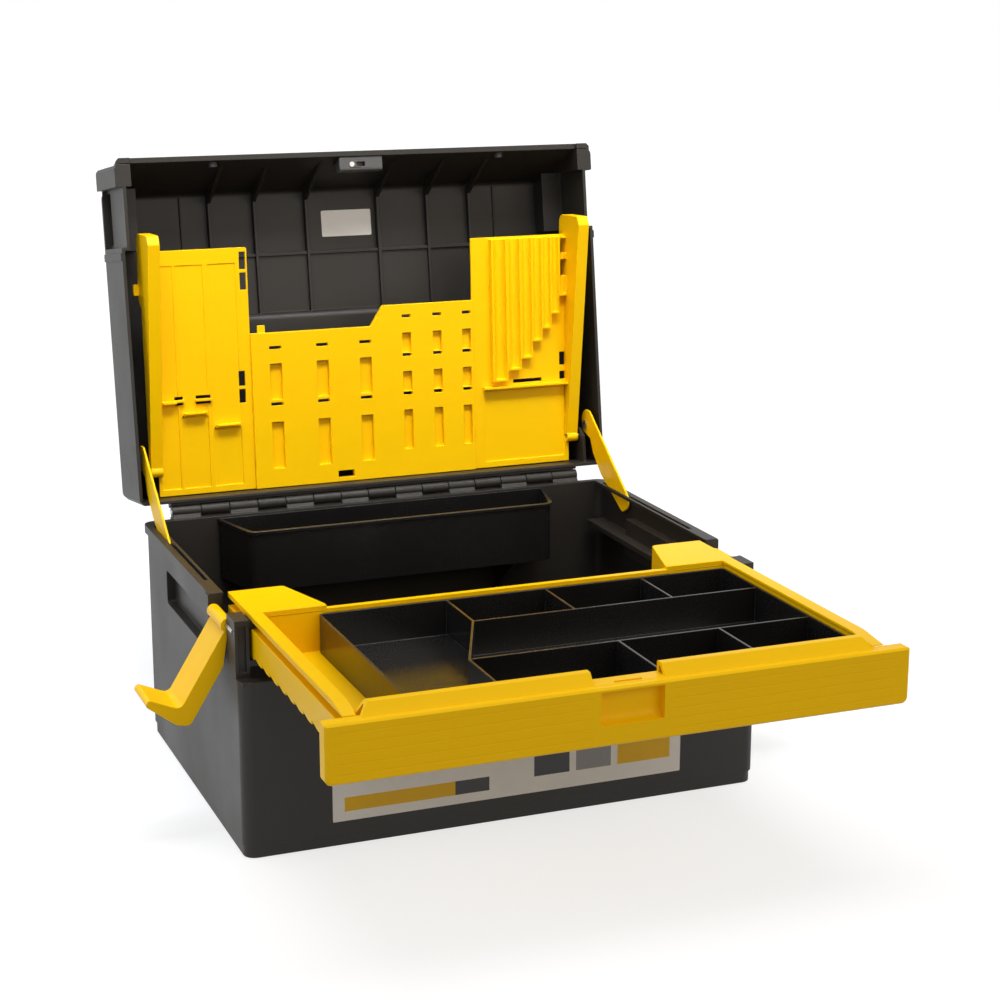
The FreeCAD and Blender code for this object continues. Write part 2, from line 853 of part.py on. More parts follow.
def make_lid():
    """Lid shell in its closed place."""
    w = lid_half_w
    t = lid_wall
    body = prism(lid_profile(0.0, lid_side_z), "yz", -w, w)
    top = [e for e in body.Edges if e.BoundBox.ZMin > lid_top_z - 0.01 and e.BoundBox.XLength < 0.01]
    body = body.makeChamfer(lid_side_bevel, top)
    hollow = prism(lid_profile(t, lid_side_z - over), "yz", t - w, w - t)
    rise_y = lid_inner_front_y + over
    rise = box(-block_in, block_in, lid_front_y - over, rise_y, lid_side_z - over, lid_front_z)
    body = cut_all(body, [hollow, rise])

    # Corner blocks and raised borders outside
    block = [
        (block_in, block_front_y),
        (block_half_w, block_front_y, block_r),
        (block_half_w, block_back_y),
        (block_in, block_back_y),
    ]
    c = border_cut
    border = [
        (border_x0 + c, border_y0),
        (border_x1 - c, border_y0),
        (border_x1, border_y0 + c),
        (border_x1, border_y1 - c),
        (border_x1 - c, border_y1),
        (border_x0 + c, border_y1),
        (border_x0, border_y1 - c),
        (border_x0, border_y0 + c),
    ]
    side = [
        prism(block, "xy", lid_side_z, lid_top_z + block_rise),
        prism(border, "xy", lid_top_z - sink, lid_top_z + border_rise),
    ]

    # Walls behind the latch recess, finger fin and handle lug
    r0 = recess_y0 - sink
    r1 = recess_y1 + recess_wall
    head = lid_top_z - lid_side_bevel
    side.append(box(recess_x - recess_wall, w - sink, r0, r1, lid_side_z, head))
    side.append(box(hook_pocket_in - recess_wall, w - sink, r0, r1, recess_top_z - recess_wall, head))
    fin = [
        (w - sink, lid_side_z),
        (w + 0.5 * fin_out, lid_side_z),
        (w + fin_out, lid_top_z - fin_drop),
        (w - sink, head),
    ]
    side.append(prism(fin, "xz", fin_y0, fin_y1))
    lug_top = handle_axis_z + lug_r
    lug = [
        (handle_axis_y - lug_r, lid_top_z - sink),
        (handle_axis_y - lug_r, lug_top - lug_cut),
        (handle_axis_y - lug_r + lug_cut, lug_top),
        (handle_axis_y + lug_r - lug_cut, lug_top),
        (handle_axis_y + lug_r, lug_top - lug_cut),
        (handle_axis_y + lug_r, lid_top_z - sink),
    ]
    side.append(prism(lug, "yz", lug_x, lug_x + lug_t))

    # Brackets for the organiser and pads for the stays inside
    foot = lid_side_z + bracket_foot
    bracket = [
        (lid_back_y - sink, foot),
        (lid_back_y - sink, lid_top_z - sink),
        (lid_back_y - bracket_d, lid_top_z - sink),
        (lid_back_y - bracket_d, lid_side_z + bracket_shoulder),
        (lid_back_y - bracket_neck, foot),
    ]
    bracket_x = wing_out + bracket_gap
    side.append(prism(bracket, "yz", bracket_x, bracket_x + bracket_t))
    pad_x = stay_x0 + stay_t + stay_pad_gap
    pad_y = stay_pivot_y - stay_pad_half
    pad_z = stay_pivot_z - stay_pad_half
    pad_w = 2.0 * stay_pad_half
    side.append(box(pad_x, w - sink, pad_y, pad_y + pad_w, pad_z, pad_z + pad_w))
    add = []
    for s in side:
        add += both(s)

    # Long ribs that run down the front wall, thin ribs and the raised pad
    crest = lid_top_z - t - lid_rib_h
    low = lid_front_z + lid_rib_foot
    low_y = lid_inner_front_y + lid_slope * (low - lid_front_z)
    rib = [
        (lid_back_y - lid_rib_back, lid_top_z - sink),
        (lid_back_y - lid_rib_back, crest),
        (lid_top_front_y + lid_rib_front, crest),
        (low_y, low),
        (low_y - 2.0 * sink, low),
        (lid_top_front_y + sink, lid_top_z - sink),
    ]
    half = 0.5 * lid_rib_t
    for x in lid_rib_xs:
        add += both(prism(rib, "yz", x - half, x + half))
    x0 = lid_thin_rib_x - 0.5 * lid_thin_rib_t
    y0 = lid_top_front_y + 2.0 * lid_wall
    y1 = lid_back_y - lid_rib_back
    add += both(box(x0, x0 + lid_thin_rib_t, y0, y1, lid_top_z - t - lid_thin_rib_h, lid_top_z - sink))
    pad_half = lid_rib_xs[-1]
    pad_front = lid_front_y + lid_pad_setback
    pad_low = lid_top_z - t - lid_pad_t
    add.append(box(-pad_half, pad_half, pad_front, lid_back_y - sink, pad_low, lid_top_z - sink))
    cross_low = lid_top_z - t - lid_cross_h
    add.append(box(-pad_half, pad_half, pad_front, pad_front + lid_rib_t, cross_low, lid_top_z - sink))

    # Handle well and hinge knuckles
    under = [
        (well_y0 - well_t, lid_top_z - sink),
        (well_y0 - well_t, well_z, well_round),
        (well_y1 + well_t, well_z, well_round),
        (well_y1 + well_t, lid_top_z - sink),
    ]
    add.append(prism(under, "yz", -well_half_l - well_t, well_half_l + well_t))
    web = [
        (lid_back_y - 0.5 * lid_wall, hinge_z - sink),
        (lid_back_y - 0.5 * lid_wall, hinge_z + 2.0 * hinge_back),
        (hinge_y, hinge_z + knuckle_r - web_bite),
        (hinge_y, hinge_z),
    ]
    l = hinge_half_l
    inner = hinge_y - knuckle_r - hinge_strip_gap
    head = hinge_z + 2.0 * hinge_back
    hook_y = hinge_y - hinge_strip_hook
    strip = [
        (lid_back_y - 0.5 * lid_wall, hinge_z - hinge_strip_low),
        (inner, hinge_z - hinge_strip_low),
        (inner, head - knuckle_r - hinge_strip_gap),
        (hook_y, head - hinge_strip_hook),
        (hook_y, head),
        (lid_back_y - 0.5 * lid_wall, head),
    ]
    add.append(prism(strip, "yz", -l, l))
    body = join([body] + add + knuckles(1, web))

    # Recesses, handle well and bores
    far = block_half_w + over
    pocket_top = recess_top_z + hook_pocket_h
    p0 = recess_y0 + recess_wall
    p1 = recess_y1 - recess_wall
    seat = buffer_seat()
    py, pz = panel_pivot_closed()
    cuts = [prism(well_profile(), "yz", -well_half_l, well_half_l)]
    cuts += both(box(recess_x, far, recess_y0, recess_y1, lid_side_z - over, pocket_top))
    cuts += both(box(hook_pocket_in, far, p0, p1, recess_top_z, pocket_top))
    pin_r = handle_pin_r + fix_gap
    cuts += both(flat_bore("x", lug_x - sink, lug_x + lug_t + sink, handle_axis_y, handle_axis_z, pin_r))
    pin_r = stay_pin_r + fix_gap
    cuts += both(flat_bore("x", stay_x0, w - sink, stay_pivot_y, stay_pivot_z, pin_r))
    cuts += both(flat_bore("y", seat, seat + 2.0 * buffer_t, buffer_x, buffer_z, buffer_r + fix_gap))
    cuts += both(flat_bore("x", wing_out, bracket_x + 2.0 * bracket_t, py, pz, panel_pin_r + fix_gap))
    cuts.append(flat_bore("x", -l - sink, l + sink, hinge_y, hinge_z, hinge_pin_r + run_gap))
    return cut_all(body, cuts)


def well_profile():
    """Side outline of the handle well's hollow."""
    low = well_z + well_t
    top = lid_top_z + over
    return [
        (well_y0, top),
        (well_y0, low + well_cut),
        (well_y0 + well_cut, low),
        (well_y1 - well_cut, low),
        (well_y1, low + well_cut),
        (well_y1, top),
    ]


def buffer_seat():
    """Bottom of the blind holes that hold the buffers, in the closed lid."""
    return lid_inner_front_y + lid_slope * (buffer_z - lid_front_z) - buffer_sunk


def lean(shape):
    """Moves the upright panel to its leaning place in the opened lid."""
    out = shape.copy()
    out.rotate(V(0, 0, 0), V(1, 0, 0), -panel_lean_deg)
    out.translate(V(0, panel_base_y, panel_base_z))
    return out


def panel_pivot_closed():
    """Organiser pivot carried back to the closed lid."""
    a = math.radians(-panel_lean_deg)
    y = panel_pivot_y * math.cos(a) - panel_pivot_s * math.sin(a)
    z = panel_pivot_y * math.sin(a) + panel_pivot_s * math.cos(a)
    return turned(panel_base_y + y, panel_base_z + z, lid_open_deg)


def make_wing():
    """Hollow wedge wing with its ear, pivot boss and stop nub, right side."""
    t = panel_t
    k = wing_wall
    low = panel_pivot_s - wing_foot
    wedge = [
        (panel_bite, low),
        (-wing_toe, low + wing_toe_rise),
        (-wing_front, wing_top - wing_ear, wing_nose_r),
        (-wing_front + wing_ear_in, wing_top, wing_ear_in),
        (wing_back - wing_back_in, wing_top, wing_back_r),
        (wing_back, wing_back_low),
        (t, wing_back_low - wing_ear),
        (t, low),
    ]
    core = [
        (wing_back + over, low + wing_core_foot),
        (panel_bite, low + wing_core_foot),
        (-wing_front + k + wing_core_in, wing_top - wing_core_head),
        (-wing_front + k + wing_ear_in, wing_top - k),
        (wing_back + over, wing_top - k),
    ]
    wing = prism(wedge, "yz", wing_in, wing_out)
    wing = wing.cut(prism(core, "yz", wing_in + k, wing_out - k))
    boss = rod("x", wing_in, wing_out, panel_pivot_y, panel_pivot_s, panel_boss_r)
    nub = box(wing_out - sink, wing_out + nub_out, wing_back - over, wing_back, nub_s0, nub_s1)
    return join([wing, boss, nub])


def loop_row(xs, wide, rows):
    """Sunk fields, slits and the room behind the straps of one set of tool loops."""
    cuts = []
    half = 0.5 * wide
    front = -panel_mid_out - sink
    for x in xs:
        for s0, s1, slit in rows:
            x0 = x - half
            x1 = x + half
            cuts.append(box(x0, x1, front, channel_deep, s0, s1))
            cuts.append(box(x0, x1, strap_t - panel_mid_out, panel_t + sink, s1 - sink, slit + slit_half))
            cuts.append(box(x0, x1, front, panel_t, slit - slit_half, slit + slit_half))
    return cuts


def make_panel():
    """Organiser panel, upright, its front face in the plane y = 0."""
    w = panel_half_w
    t = panel_t
    step_x0 = panel_right_edge - panel_step_w0
    step_x1 = panel_right_edge - panel_step_w1
    edge = [
        (-w, 0),
        (w, 0),
        (w, panel_right_top),
        (panel_right_edge, panel_right_top, panel_corner_r),
        (panel_right_edge, panel_step_top),
        (step_x1, panel_step_top, panel_step_r),
        (step_x0, panel_mid_top),
        (panel_left_edge, panel_mid_top),
        (panel_left_edge, panel_left_top, panel_corner_r),
        (-w, panel_left_top),
    ]
    middle = [
        (panel_left_edge, 0),
        (panel_right_edge, 0),
        (panel_right_edge, panel_step_top),
        (step_x1, panel_step_top, panel_step_r),
        (step_x0, panel_mid_top),
        (panel_left_edge, panel_mid_top),
    ]
    add = [prism(edge, "xz", 0, t), prism(middle, "xz", -panel_mid_out, panel_bite)] + both(make_wing())
    cuts = []
    clips = []

    # Stepped tool channels on the left, each with a ledge and a shallow sink below it
    for left, right, top in tool_channels:
        x0 = left - w
        x1 = right - w
        cuts.append(box(x0, x1, -sink, channel_deep, channel_foot, top - ledge_t))
        cuts.append(box(x0, x1, -sink, channel_top_deep, top, panel_left_top - channel_head))
        ledge = [
            (panel_bite, top),
            (-ledge_out, top),
            (-ledge_out, top - ledge_lip),
            (panel_bite, top - ledge_t),
        ]
        add.append(prism(ledge, "yz", x0 + ledge_in, x1 - ledge_in))
    clip_mid = 0.5 * (clip_s0 + clip_s1)
    half = 0.5 * clip_bar
    for left, right in clip_holes:
        cuts.append(box(left - w, right - w, -over, over, clip_s0, clip_s1))
        x0 = left - w - sink
        x1 = right - w + sink
        clips.append(box(x0, x1, -clip_out, t, clip_mid - half, clip_mid + half))

    # Tool loops in the middle, hang hole and tab
    wide_xs = [panel_left_edge + x for x in wide_loop_xs]
    slim_xs = [panel_right_edge - x for x in slim_loop_xs]
    for xs, wide, rows in ((wide_xs, wide_loop_w, wide_loop_rows), (slim_xs, slim_loop_w, slim_loop_rows)):
        cuts += loop_row(xs, wide, rows)
    half = 0.5 * hang_hole_w
    cuts.append(box(hang_hole_x - half, hang_hole_x + half, -over, over, hang_hole_s0, hang_hole_s1))
    tab_x0 = panel_left_edge + tab_in - 0.5 * tab_w
    add.append(box(tab_x0, tab_x0 + tab_w, 0.0, t, panel_mid_top - sink, panel_mid_top + tab_h))

    # Stepped bit holder on the right with one round channel for each bit
    x0 = w - bit_left
    for i in range(len(bits)):
        from_right, wide, foot = bits[i]
        last = i + 1 == len(bits)
        x1 = wing_in + panel_bite if last else w - 0.5 * (from_right + bits[i + 1][0])
        add.append(box(x0, x1, -bit_out, panel_bite, foot - bit_floor, panel_right_top - panel_margin))
        cuts.append(rod("z", foot, panel_right_top + sink, w - from_right, -bit_out, 0.5 * wide))
        x0 = x1
    shelf = [
        (panel_bite, bit_shelf_s),
        (-bit_out, bit_shelf_s),
        (-bit_out, bit_shelf_s - bit_shelf_lip),
        (panel_bite, bit_shelf_s - ledge_t),
    ]
    x0 = w - bit_shelf_left
    add.append(prism(shelf, "yz", x0, wing_in + panel_bite))
    field_top = bit_shelf_s - ledge_t
    cuts.append(box(x0 + ledge_in, wing_in - sink, -sink, channel_deep, channel_foot, field_top))
    s0 = bit_shelf_s + bit_slot_gap
    cuts.append(box(w - bit_slot_left, w - bit_slot_right, -over, over, s0, s0 + bit_slot_h))

    # Small windows beside both tool fields
    half = 0.5 * window_w
    for side_x, windows in ((panel_left_edge, left_windows), (w, right_windows)):
        for inset, s0, s1 in windows:
            x = side_x - inset
            cuts.append(box(x - half, x + half, -wing_front, over, s0, s1))
    body = join([cut_all(join(add), cuts)] + clips)
    bore_r = panel_pin_r + run_gap
    bore = flat_bore("x", wing_in - sink, wing_out + sink, panel_pivot_y, panel_pivot_s, bore_r)
    return cut_all(body, both(bore))


def make_stay():
    """Right lid stay, drawn along its length and turned to its rest angle."""
    n = stay_len
    h = stay_head
    strap = [
        (-h, h + sink, stay_heel_r),
        (-stay_heel, stay_top, stay_throat_rise),
        (n, stay_top - stay_fall, stay_tip_r),
        (n + stay_nose, stay_tip + stay_tip_rise, stay_tip_r),
        (n, -stay_tip, stay_tip),
        (stay_belly_at, -stay_belly),
        (stay_throat_at, stay_throat_rise - stay_belly),
        (stay_waist_at, -stay_waist),
        (-stay_heel, -h, stay_waist_r),
        (-h - stay_heel, sink, stay_heel_r),
    ]
    plate = prism(strap, "yz", stay_x0, stay_x0 + stay_t)
    plate = plate.cut(flat_bore("x", stay_x0 - sink, stay_x0 + stay_t + sink, 0, 0, stay_pin_r + run_gap))
    plate = plate.mirror(V(0, 0, 0), V(0, 0, 1))
    plate.rotate(V(0, 0, 0), V(1, 0, 0), stay_rest_deg)
    y, z = turned(stay_pivot_y, stay_pivot_z, -lid_open_deg)
    plate.translate(V(0, y, z))
    return plate


def make_latch():
    """Left latch swung out and down, shaped along its own length."""
    n = latch_len
    d = latch_deep
    f = latch_foot
    t = latch_plate_t
    k = latch_knuckle_r - sink
    toe = n + latch_toe
    skirt = [
        (0, 0),
        (n, 0, latch_bend_r),
        (n + latch_foot_lean, f, latch_foot_r),
        (toe - latch_foot_r, f, latch_foot_r),
        (toe, -latch_foot_lean, latch_heel_r),
        (toe - latch_foot_lean, -d, latch_heel_r),
        (latch_neck, -d, latch_bend_r),
        (latch_throat, -k),
        (0, -k),
    ]
    inside = [
        (latch_core_start, -t),
        (n + 0.5 * latch_foot_lean, -t, latch_foot_lean),
        (n + latch_core_end, f - latch_core_end),
        (toe - latch_heel_r, f - latch_core_end),
        (toe - t, -latch_foot_lean),
        (toe - latch_core_end, t - d),
        (latch_neck + sink, t - d),
        (latch_core_start, -t - sink),
    ]
    y0 = latch_y0
    y1 = latch_y1
    body = prism(skirt, "xz", y0, y1).cut(prism(inside, "xz", y0 + latch_side_t, y1 + over))
    add = [rod("y", y0, y1, 0, 0, latch_knuckle_r)]
    start = latch_neck + latch_rib_end
    step = (n - start - latch_rib_end) / (latch_ribs - 1)
    for i in range(latch_ribs):
        x = start + i * step
        add.append(box(x, x + latch_rib_t, y0 + sink, y1 - 2.0 * sink, sink - d, -sink))
    body = join([body] + add)
    body = body.cut(flat_bore("y", y0 - sink, y1 + sink, 0, 0, latch_pin_r + run_gap))
    body = body.mirror(V(0, 0, 0), V(0, 0, 1))
    body.rotate(V(0, 0, 0), V(0, 1, 0), 90.0 + latch_rest_deg)
    body.translate(V(-latch_x, 0, latch_z))
    return body


def make_drawer():
    """Drawer frame with two rear arms, pulled open."""
    h = drawer_half_w
    b = drawer_body_half
    t = drawer_wall
    y0 = drawer_front_wall_y
    top = drawer_top_z
    floor = drawer_floor_z
    low = groove_z0 - groove_floor

    # Side walls with a guide groove above a hanging skirt
    side = [
        (b - t, floor),
        (b, floor),
        (b, low),
        (h - skirt_t, low),
        (h - skirt_t, drawer_skirt_z),
        (h, drawer_skirt_z),
        (h, groove_z0),
        (b, groove_z0),
        (b, groove_z1),
        (h, groove_z1),
        (h, top),
        (drawer_rail_in, top),
        (drawer_rail_in, top - t),
        (b - t, top - t - drawer_rail_over),
    ]
    wall = prism(side, "xz", y0, drawer_arm_y)
    under = [box(0, b + 0.01, drawer_rear_y, drawer_arm_y + sink, floor - sink, drawer_skirt_z)]
    for i in range(skirt_teeth):
        y = y0 + skirt_start + i * skirt_pitch
        tooth = [
            (y, drawer_skirt_z - 0.1 * sink),
            (y + skirt_tooth_l, drawer_skirt_z - 0.1 * sink),
            (y + skirt_tooth_l, drawer_skirt_z + skirt_tooth_h),
        ]
        under.append(prism(tooth, "yz", b + sink, h + sink))
    wall = cut_all(wall, under)

    # Hollow rear arms that pass beside the tray
    arm = [
        (arm_in_front, drawer_rear_y - arm_lap),
        (arm_in_front, drawer_rear_y + arm_straight),
        (arm_in_rear, drawer_arm_y, arm_r),
        (b - t + sink, drawer_arm_y),
        (b - t + sink, drawer_rear_y - arm_lap),
    ]
    core = [
        (arm_in_front + arm_wall, drawer_rear_y),
        (arm_in_front + arm_wall, drawer_rear_y + arm_straight),
        (arm_in_rear + arm_wall, drawer_arm_y - t),
        (b - t, drawer_arm_y - t),
        (b - t, drawer_rear_y),
    ]
    arm = prism(arm, "xy", drawer_skirt_z, top)
    arm = arm.cut(prism(core, "xy", drawer_skirt_z - sink, top - arm_wall))

    # Floor, end walls, rear bar and floor ribs
    parts = both(wall) + both(arm)
    parts.append(box(-b, b, y0, drawer_rear_y, floor, floor + drawer_floor_t))
    bar_top = top - drawer_bar_drop
    bar_low = bar_top - drawer_bar_t
    parts.append(box(-b, b, drawer_rear_y - t, drawer_rear_y, floor, bar_low + sink))
    parts.append(box(-b, b, y0, y0 + t, floor, fascia_z1 - wall_below_lip))
    bar_y = drawer_rear_y + bar_lap
    bar_half = arm_in_front + arm_lap
    parts.append(box(-bar_half, bar_half, bar_y - drawer_bar_w, bar_y, bar_low, bar_top))
    half = 0.5 * drawer_rib_t
    rib_low = floor - drawer_rib_h
    for x in (-drawer_rib_x, 0.0, drawer_rib_x):
        parts.append(box(x - half, x + half, y0 + over, drawer_rear_y - over, rib_low, floor + sink))

    # Rails slope down to the drawer front
    nose = [
        (y0 - sink, top + over),
        (y0 - sink, groove_z1 + drawer_nose_t),
        (y0, groove_z1 + drawer_nose_t),
        (y0 + drawer_nose_l, top),
        (y0 + drawer_nose_l, top + over),
    ]
    return join(parts).cut(prism(nose, "yz", -h - sink, h + sink))


def make_fascia():
    """Deep drawer front with lip, notch and finger recess."""
    w = fascia_half_w
    y0 = fascia_front_y
    y1 = drawer_front_wall_y
    t = fascia_t
    z1 = fascia_z1
    front = [
        (-w, fascia_z0, fascia_r),
        (w, fascia_z0, fascia_r),
        (w, z1, fascia_top_r),
        (-w, z1, fascia_top_r),
    ]
    shell = prism(front, "xz", y0, y1)
    shell = shell.makeChamfer(fascia_bevel, [e for e in shell.Edges if abs(e.BoundBox.YMax - y0) < 0.01])
    body = shell.cut(box(t - w, w - t, y0 + t, y1 + over, fascia_z0 + t, z1 - t))
    back = box(-finger_half_w - t, finger_half_w + t, y0 + sink, y1, finger_z0 - t, z1 - sink)

    # Raised lip along the top edge, sloped at both ends and notched for the catch
    low = z1 - lip_tuck
    crown = [
        (y0 + lip_start, z1 - t),
        (y0 + lip_start, z1),
        (y0 + lip_run, lip_top_z, lip_r),
        (lip_back_y, lip_top_z, lip_r),
    ]
    lip = crown + [
        (lip_back_y, low),
        (lip_back_y - t, low),
        (lip_back_y - t, lip_top_z - t),
        (y0 + lip_run + lip_r, lip_top_z - t),
        (y0 + lip_start + t, z1 - 0.5 * t),
        (y0 + lip_start + t, z1 - t),
    ]
    s = lip_base_half_w
    trim = [
        (-s, z1 - 2.0 * t),
        (-s, z1),
        (-lip_half_w, lip_top_z + sink),
        (lip_half_w, lip_top_z + sink),
        (s, z1),
        (s, z1 - 2.0 * t),
    ]
    ridge = prism(lip, "yz", -s, s).common(prism(trim, "xz", y0, lip_back_y + sink))
    end_x = lip_base_half_w - lip_end_in
    ends = prism(crown + [(lip_back_y, z1 - t)], "yz", end_x, end_x + lip_end_t)
    n = lip_notch_half
    ridge = join([ridge] + both(ends))
    ridge = ridge.cut(box(-n, n, y0, lip_back_y + sink, lip_notch_z, lip_top_z + over))
    seat_y = y0 + lip_start + sink
    seat = box(-n - sink, n + sink, seat_y, lip_back_y - 0.5 * sink, lip_notch_z - t, lip_notch_z)
    body = join([body, back, ridge, seat])

    # Finger scoop, catch slot and fine lines on the face
    y = y0 + finger_deep
    scoop = [
        (y0 - over, finger_z0),
        (y, finger_z0, finger_r),
        (y, finger_z1, fascia_top_r),
        (y0 - over, finger_z1),
    ]
    cuts = [prism(scoop, "yz", -finger_half_w, finger_half_w)]
    slot_y0 = y0 + slot_back
    slot_z = lip_notch_z - slot_deep
    cuts.append(box(-slot_half_w, slot_half_w, slot_y0, slot_y0 + slot_w, slot_z, lip_top_z))
    step = (z1 - fascia_z0 - 2.0 * line_margin) / (fascia_lines - 1)
    half = 0.5 * line_w
    for i in range(fascia_lines):
        z = fascia_z0 + line_margin + i * step
        line = box(finger_half_w + 2.0 * t, w - line_end, y0 - sink, y0 + line_deep, z - half, z + half)
        cuts += both(line)
    return cut_all(body, cuts)


def make_insert():
    """Compartment tray that lies in the drawer."""
    t = insert_t
    z0 = drawer_floor_z + drawer_floor_t
    z1 = insert_top_z
    r = insert_r
    body = rounded(insert_x0, insert_x1, insert_y0, insert_y1, z0, z1, r)
    inside = rounded(insert_x0 + t, insert_x1 - t, insert_y0 + t, insert_y1 - t, z0 + t, z1 + over, r - t)
    top = z1 - wall_drop
    low = z0 + sink
    half = 0.5 * t
    rear = [insert_x1 - x for x in rear_cols]
    front = [insert_x1 - x for x in front_cols]
    walls = [
        box(rear[0], insert_x1 - sink, row_rear_y - half, row_rear_y + half, low, top),
        box(front[0], insert_x1 - sink, row_front_y - half, row_front_y + half, low, top),
    ]
    for x in rear:
        walls.append(box(x - half, x + half, row_rear_y, insert_y1 - sink, low, top))
    for x in front:
        walls.append(box(x - half, x + half, insert_y0 + sink, row_front_y, low, top))
    slant = [
        (rear[0] - half, row_rear_y + half),
        (rear[0] + half, row_rear_y + half),
        (front[0] + half, row_front_y - half),
        (front[0] - half, row_front_y - half),
    ]
    walls.append(prism(slant, "xy", low, top))
    return join([body.cut(inside)] + walls)


def tray_plan(grow, r):
    """Plan outline of the rear tray, grown by a margin."""
    f = tray_half_front + grow
    b = tray_half_rear + grow
    back = tray_rear_y + min(grow, 0.0)
    return [(-f, tray_front_y - grow, r), (f, tray_front_y - grow, r), (b, back), (-b, back)]


def make_tray():
    """Tapered tray across the back of the tub."""
    body = prism(tray_plan(0.0, tray_r), "xy", tray_z0, tray_z1)
    rim = prism(tray_plan(tray_rim_w, tray_r + tray_rim_w), "xy", tray_z1 - tray_rim_h, tray_z1)
    core = prism(tray_plan(-tray_t, tray_r - tray_t), "xy", tray_z0 + tray_t, tray_z1 + over)
    return join([body, rim]).cut(core)


def catch_front(z):
    """Inner face of the lid's front wall at one height, closed lid."""
    return lid_inner_front_y + lid_slope * (z - lid_front_z)


def make_catch():
    """Catch block inside the lid's front wall, closed place."""
    side = [
        (catch_front(catch_z0), catch_z0),
        (catch_y1, catch_z0, catch_r),
        (catch_y1, catch_z1, catch_r),
        (catch_front(catch_z1), catch_z1),
    ]
    body = prism(side, "yz", -catch_half_w, catch_half_w)
    mid = 0.5 * (catch_front(catch_z0) + catch_y1)
    half = 0.5 * catch_slot_w
    slot_top = catch_z0 + catch_slot_deep
    slot = box(-catch_slot_half, catch_slot_half, mid - half, mid + half, catch_z0 - sink, slot_top)
    rivet_x = rivet_in - catch_half_w
    hole_top = catch_z0 + rivet_l + rivet_end
    hole = rod("z", catch_z0 - sink, hole_top, rivet_x, mid, rivet_r + fix_gap)
    rivet = rod("z", catch_z0 - rivet_out, catch_z0 + rivet_l, rivet_x, mid, rivet_r)
    return cut_all(body, [slot, hole]), rivet


def make_handle():
    """Folding carry handle lying on the closed lid."""
    g = 0.5 * handle_grip_w
    r = handle_grip_r
    z0 = lid_top_z + handle_lift
    z1 = z0 + handle_grip_t
    y0 = handle_grip_y - g
    y1 = handle_grip_y + g
    grip = prism([(y0, z0), (y1, z0), (y1, z1, r), (y0, z1, r)], "yz", -handle_half_l, handle_half_l)
    e = handle_eye
    arm = [
        (y0 + handle_arm_lap, z0),
        (handle_axis_y + e, handle_axis_z - e, handle_eye_r),
        (handle_axis_y + e, handle_axis_z + e, handle_eye_r),
        (y0 + handle_arm_lap, z1),
    ]
    x0 = handle_half_l - handle_arm_t
    body = join([grip] + both(prism(arm, "yz", x0, handle_half_l)))
    pin_r = handle_pin_r + run_gap
    bore = flat_bore("x", x0 - sink, handle_half_l + sink, handle_axis_y, handle_axis_z, pin_r)
    return cut_all(body, both(bore))


def pins(shape):
    """A pin on each side, as one group."""
    return Part.makeCompound(both(shape))


# Build every piece and write its file
os.makedirs("parts", exist_ok=True)

save("tub", make_tub())
save("hinge_pin", rod("x", -hinge_half_l, hinge_half_l, hinge_y, hinge_z, hinge_pin_r))
save("rear_tray", make_tray())
pin_y0 = post_front_y + latch_pin_end
save("latch_pins", pins(rod("y", pin_y0, latch_block_y1 - 3.0 * sink, latch_x, latch_z, latch_pin_r)))

save("lid_shell", open_lid(make_lid()))
catch, rivet = make_catch()
save("centre_catch", open_lid(catch))
save("catch_rivet", open_lid(rivet))
buffer = rod("y", buffer_seat() + 0.01, buffer_seat() + buffer_t, buffer_x, buffer_z, buffer_r)
save("lid_buffers", open_lid(pins(buffer)))
head_x = stay_x0 - stay_head_gap
shank = rod("x", head_x, lid_half_w - stay_pin_in, stay_pivot_y, stay_pivot_z, stay_pin_r)
head = rod("x", head_x - stay_head_t, head_x, stay_pivot_y, stay_pivot_z, stay_head_r)
save("stay_pins", open_lid(pins(join([head, shank]))))
pivot_y, pivot_z = panel_pivot_closed()
pin_end = wing_out + bracket_gap + bracket_t
save("panel_pins", open_lid(pins(rod("x", wing_in + sink, pin_end, pivot_y, pivot_z, panel_pin_r))))
save("organiser_panel", lean(make_panel()))
stay = make_stay()
save("stay_right", stay)
save("stay_left", flip(stay))

save("carry_handle", open_lid(make_handle()))
pin_x0 = handle_half_l - handle_arm_t
handle_pin = rod("x", pin_x0, lug_x + lug_t, handle_axis_y, handle_axis_z, handle_pin_r)
save("handle_pins", open_lid(pins(handle_pin)))

latch = make_latch()
save("latch_left", latch)
save("latch_right", flip(latch))

save("drawer_frame", make_drawer())
save("drawer_front", make_fascia())
save("drawer_insert", make_insert())
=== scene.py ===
import json
import logging
import math
from dataclasses import dataclass, field, replace
from enum import Enum
from functools import cached_property

import bpy
from mathutils import Matrix, Vector


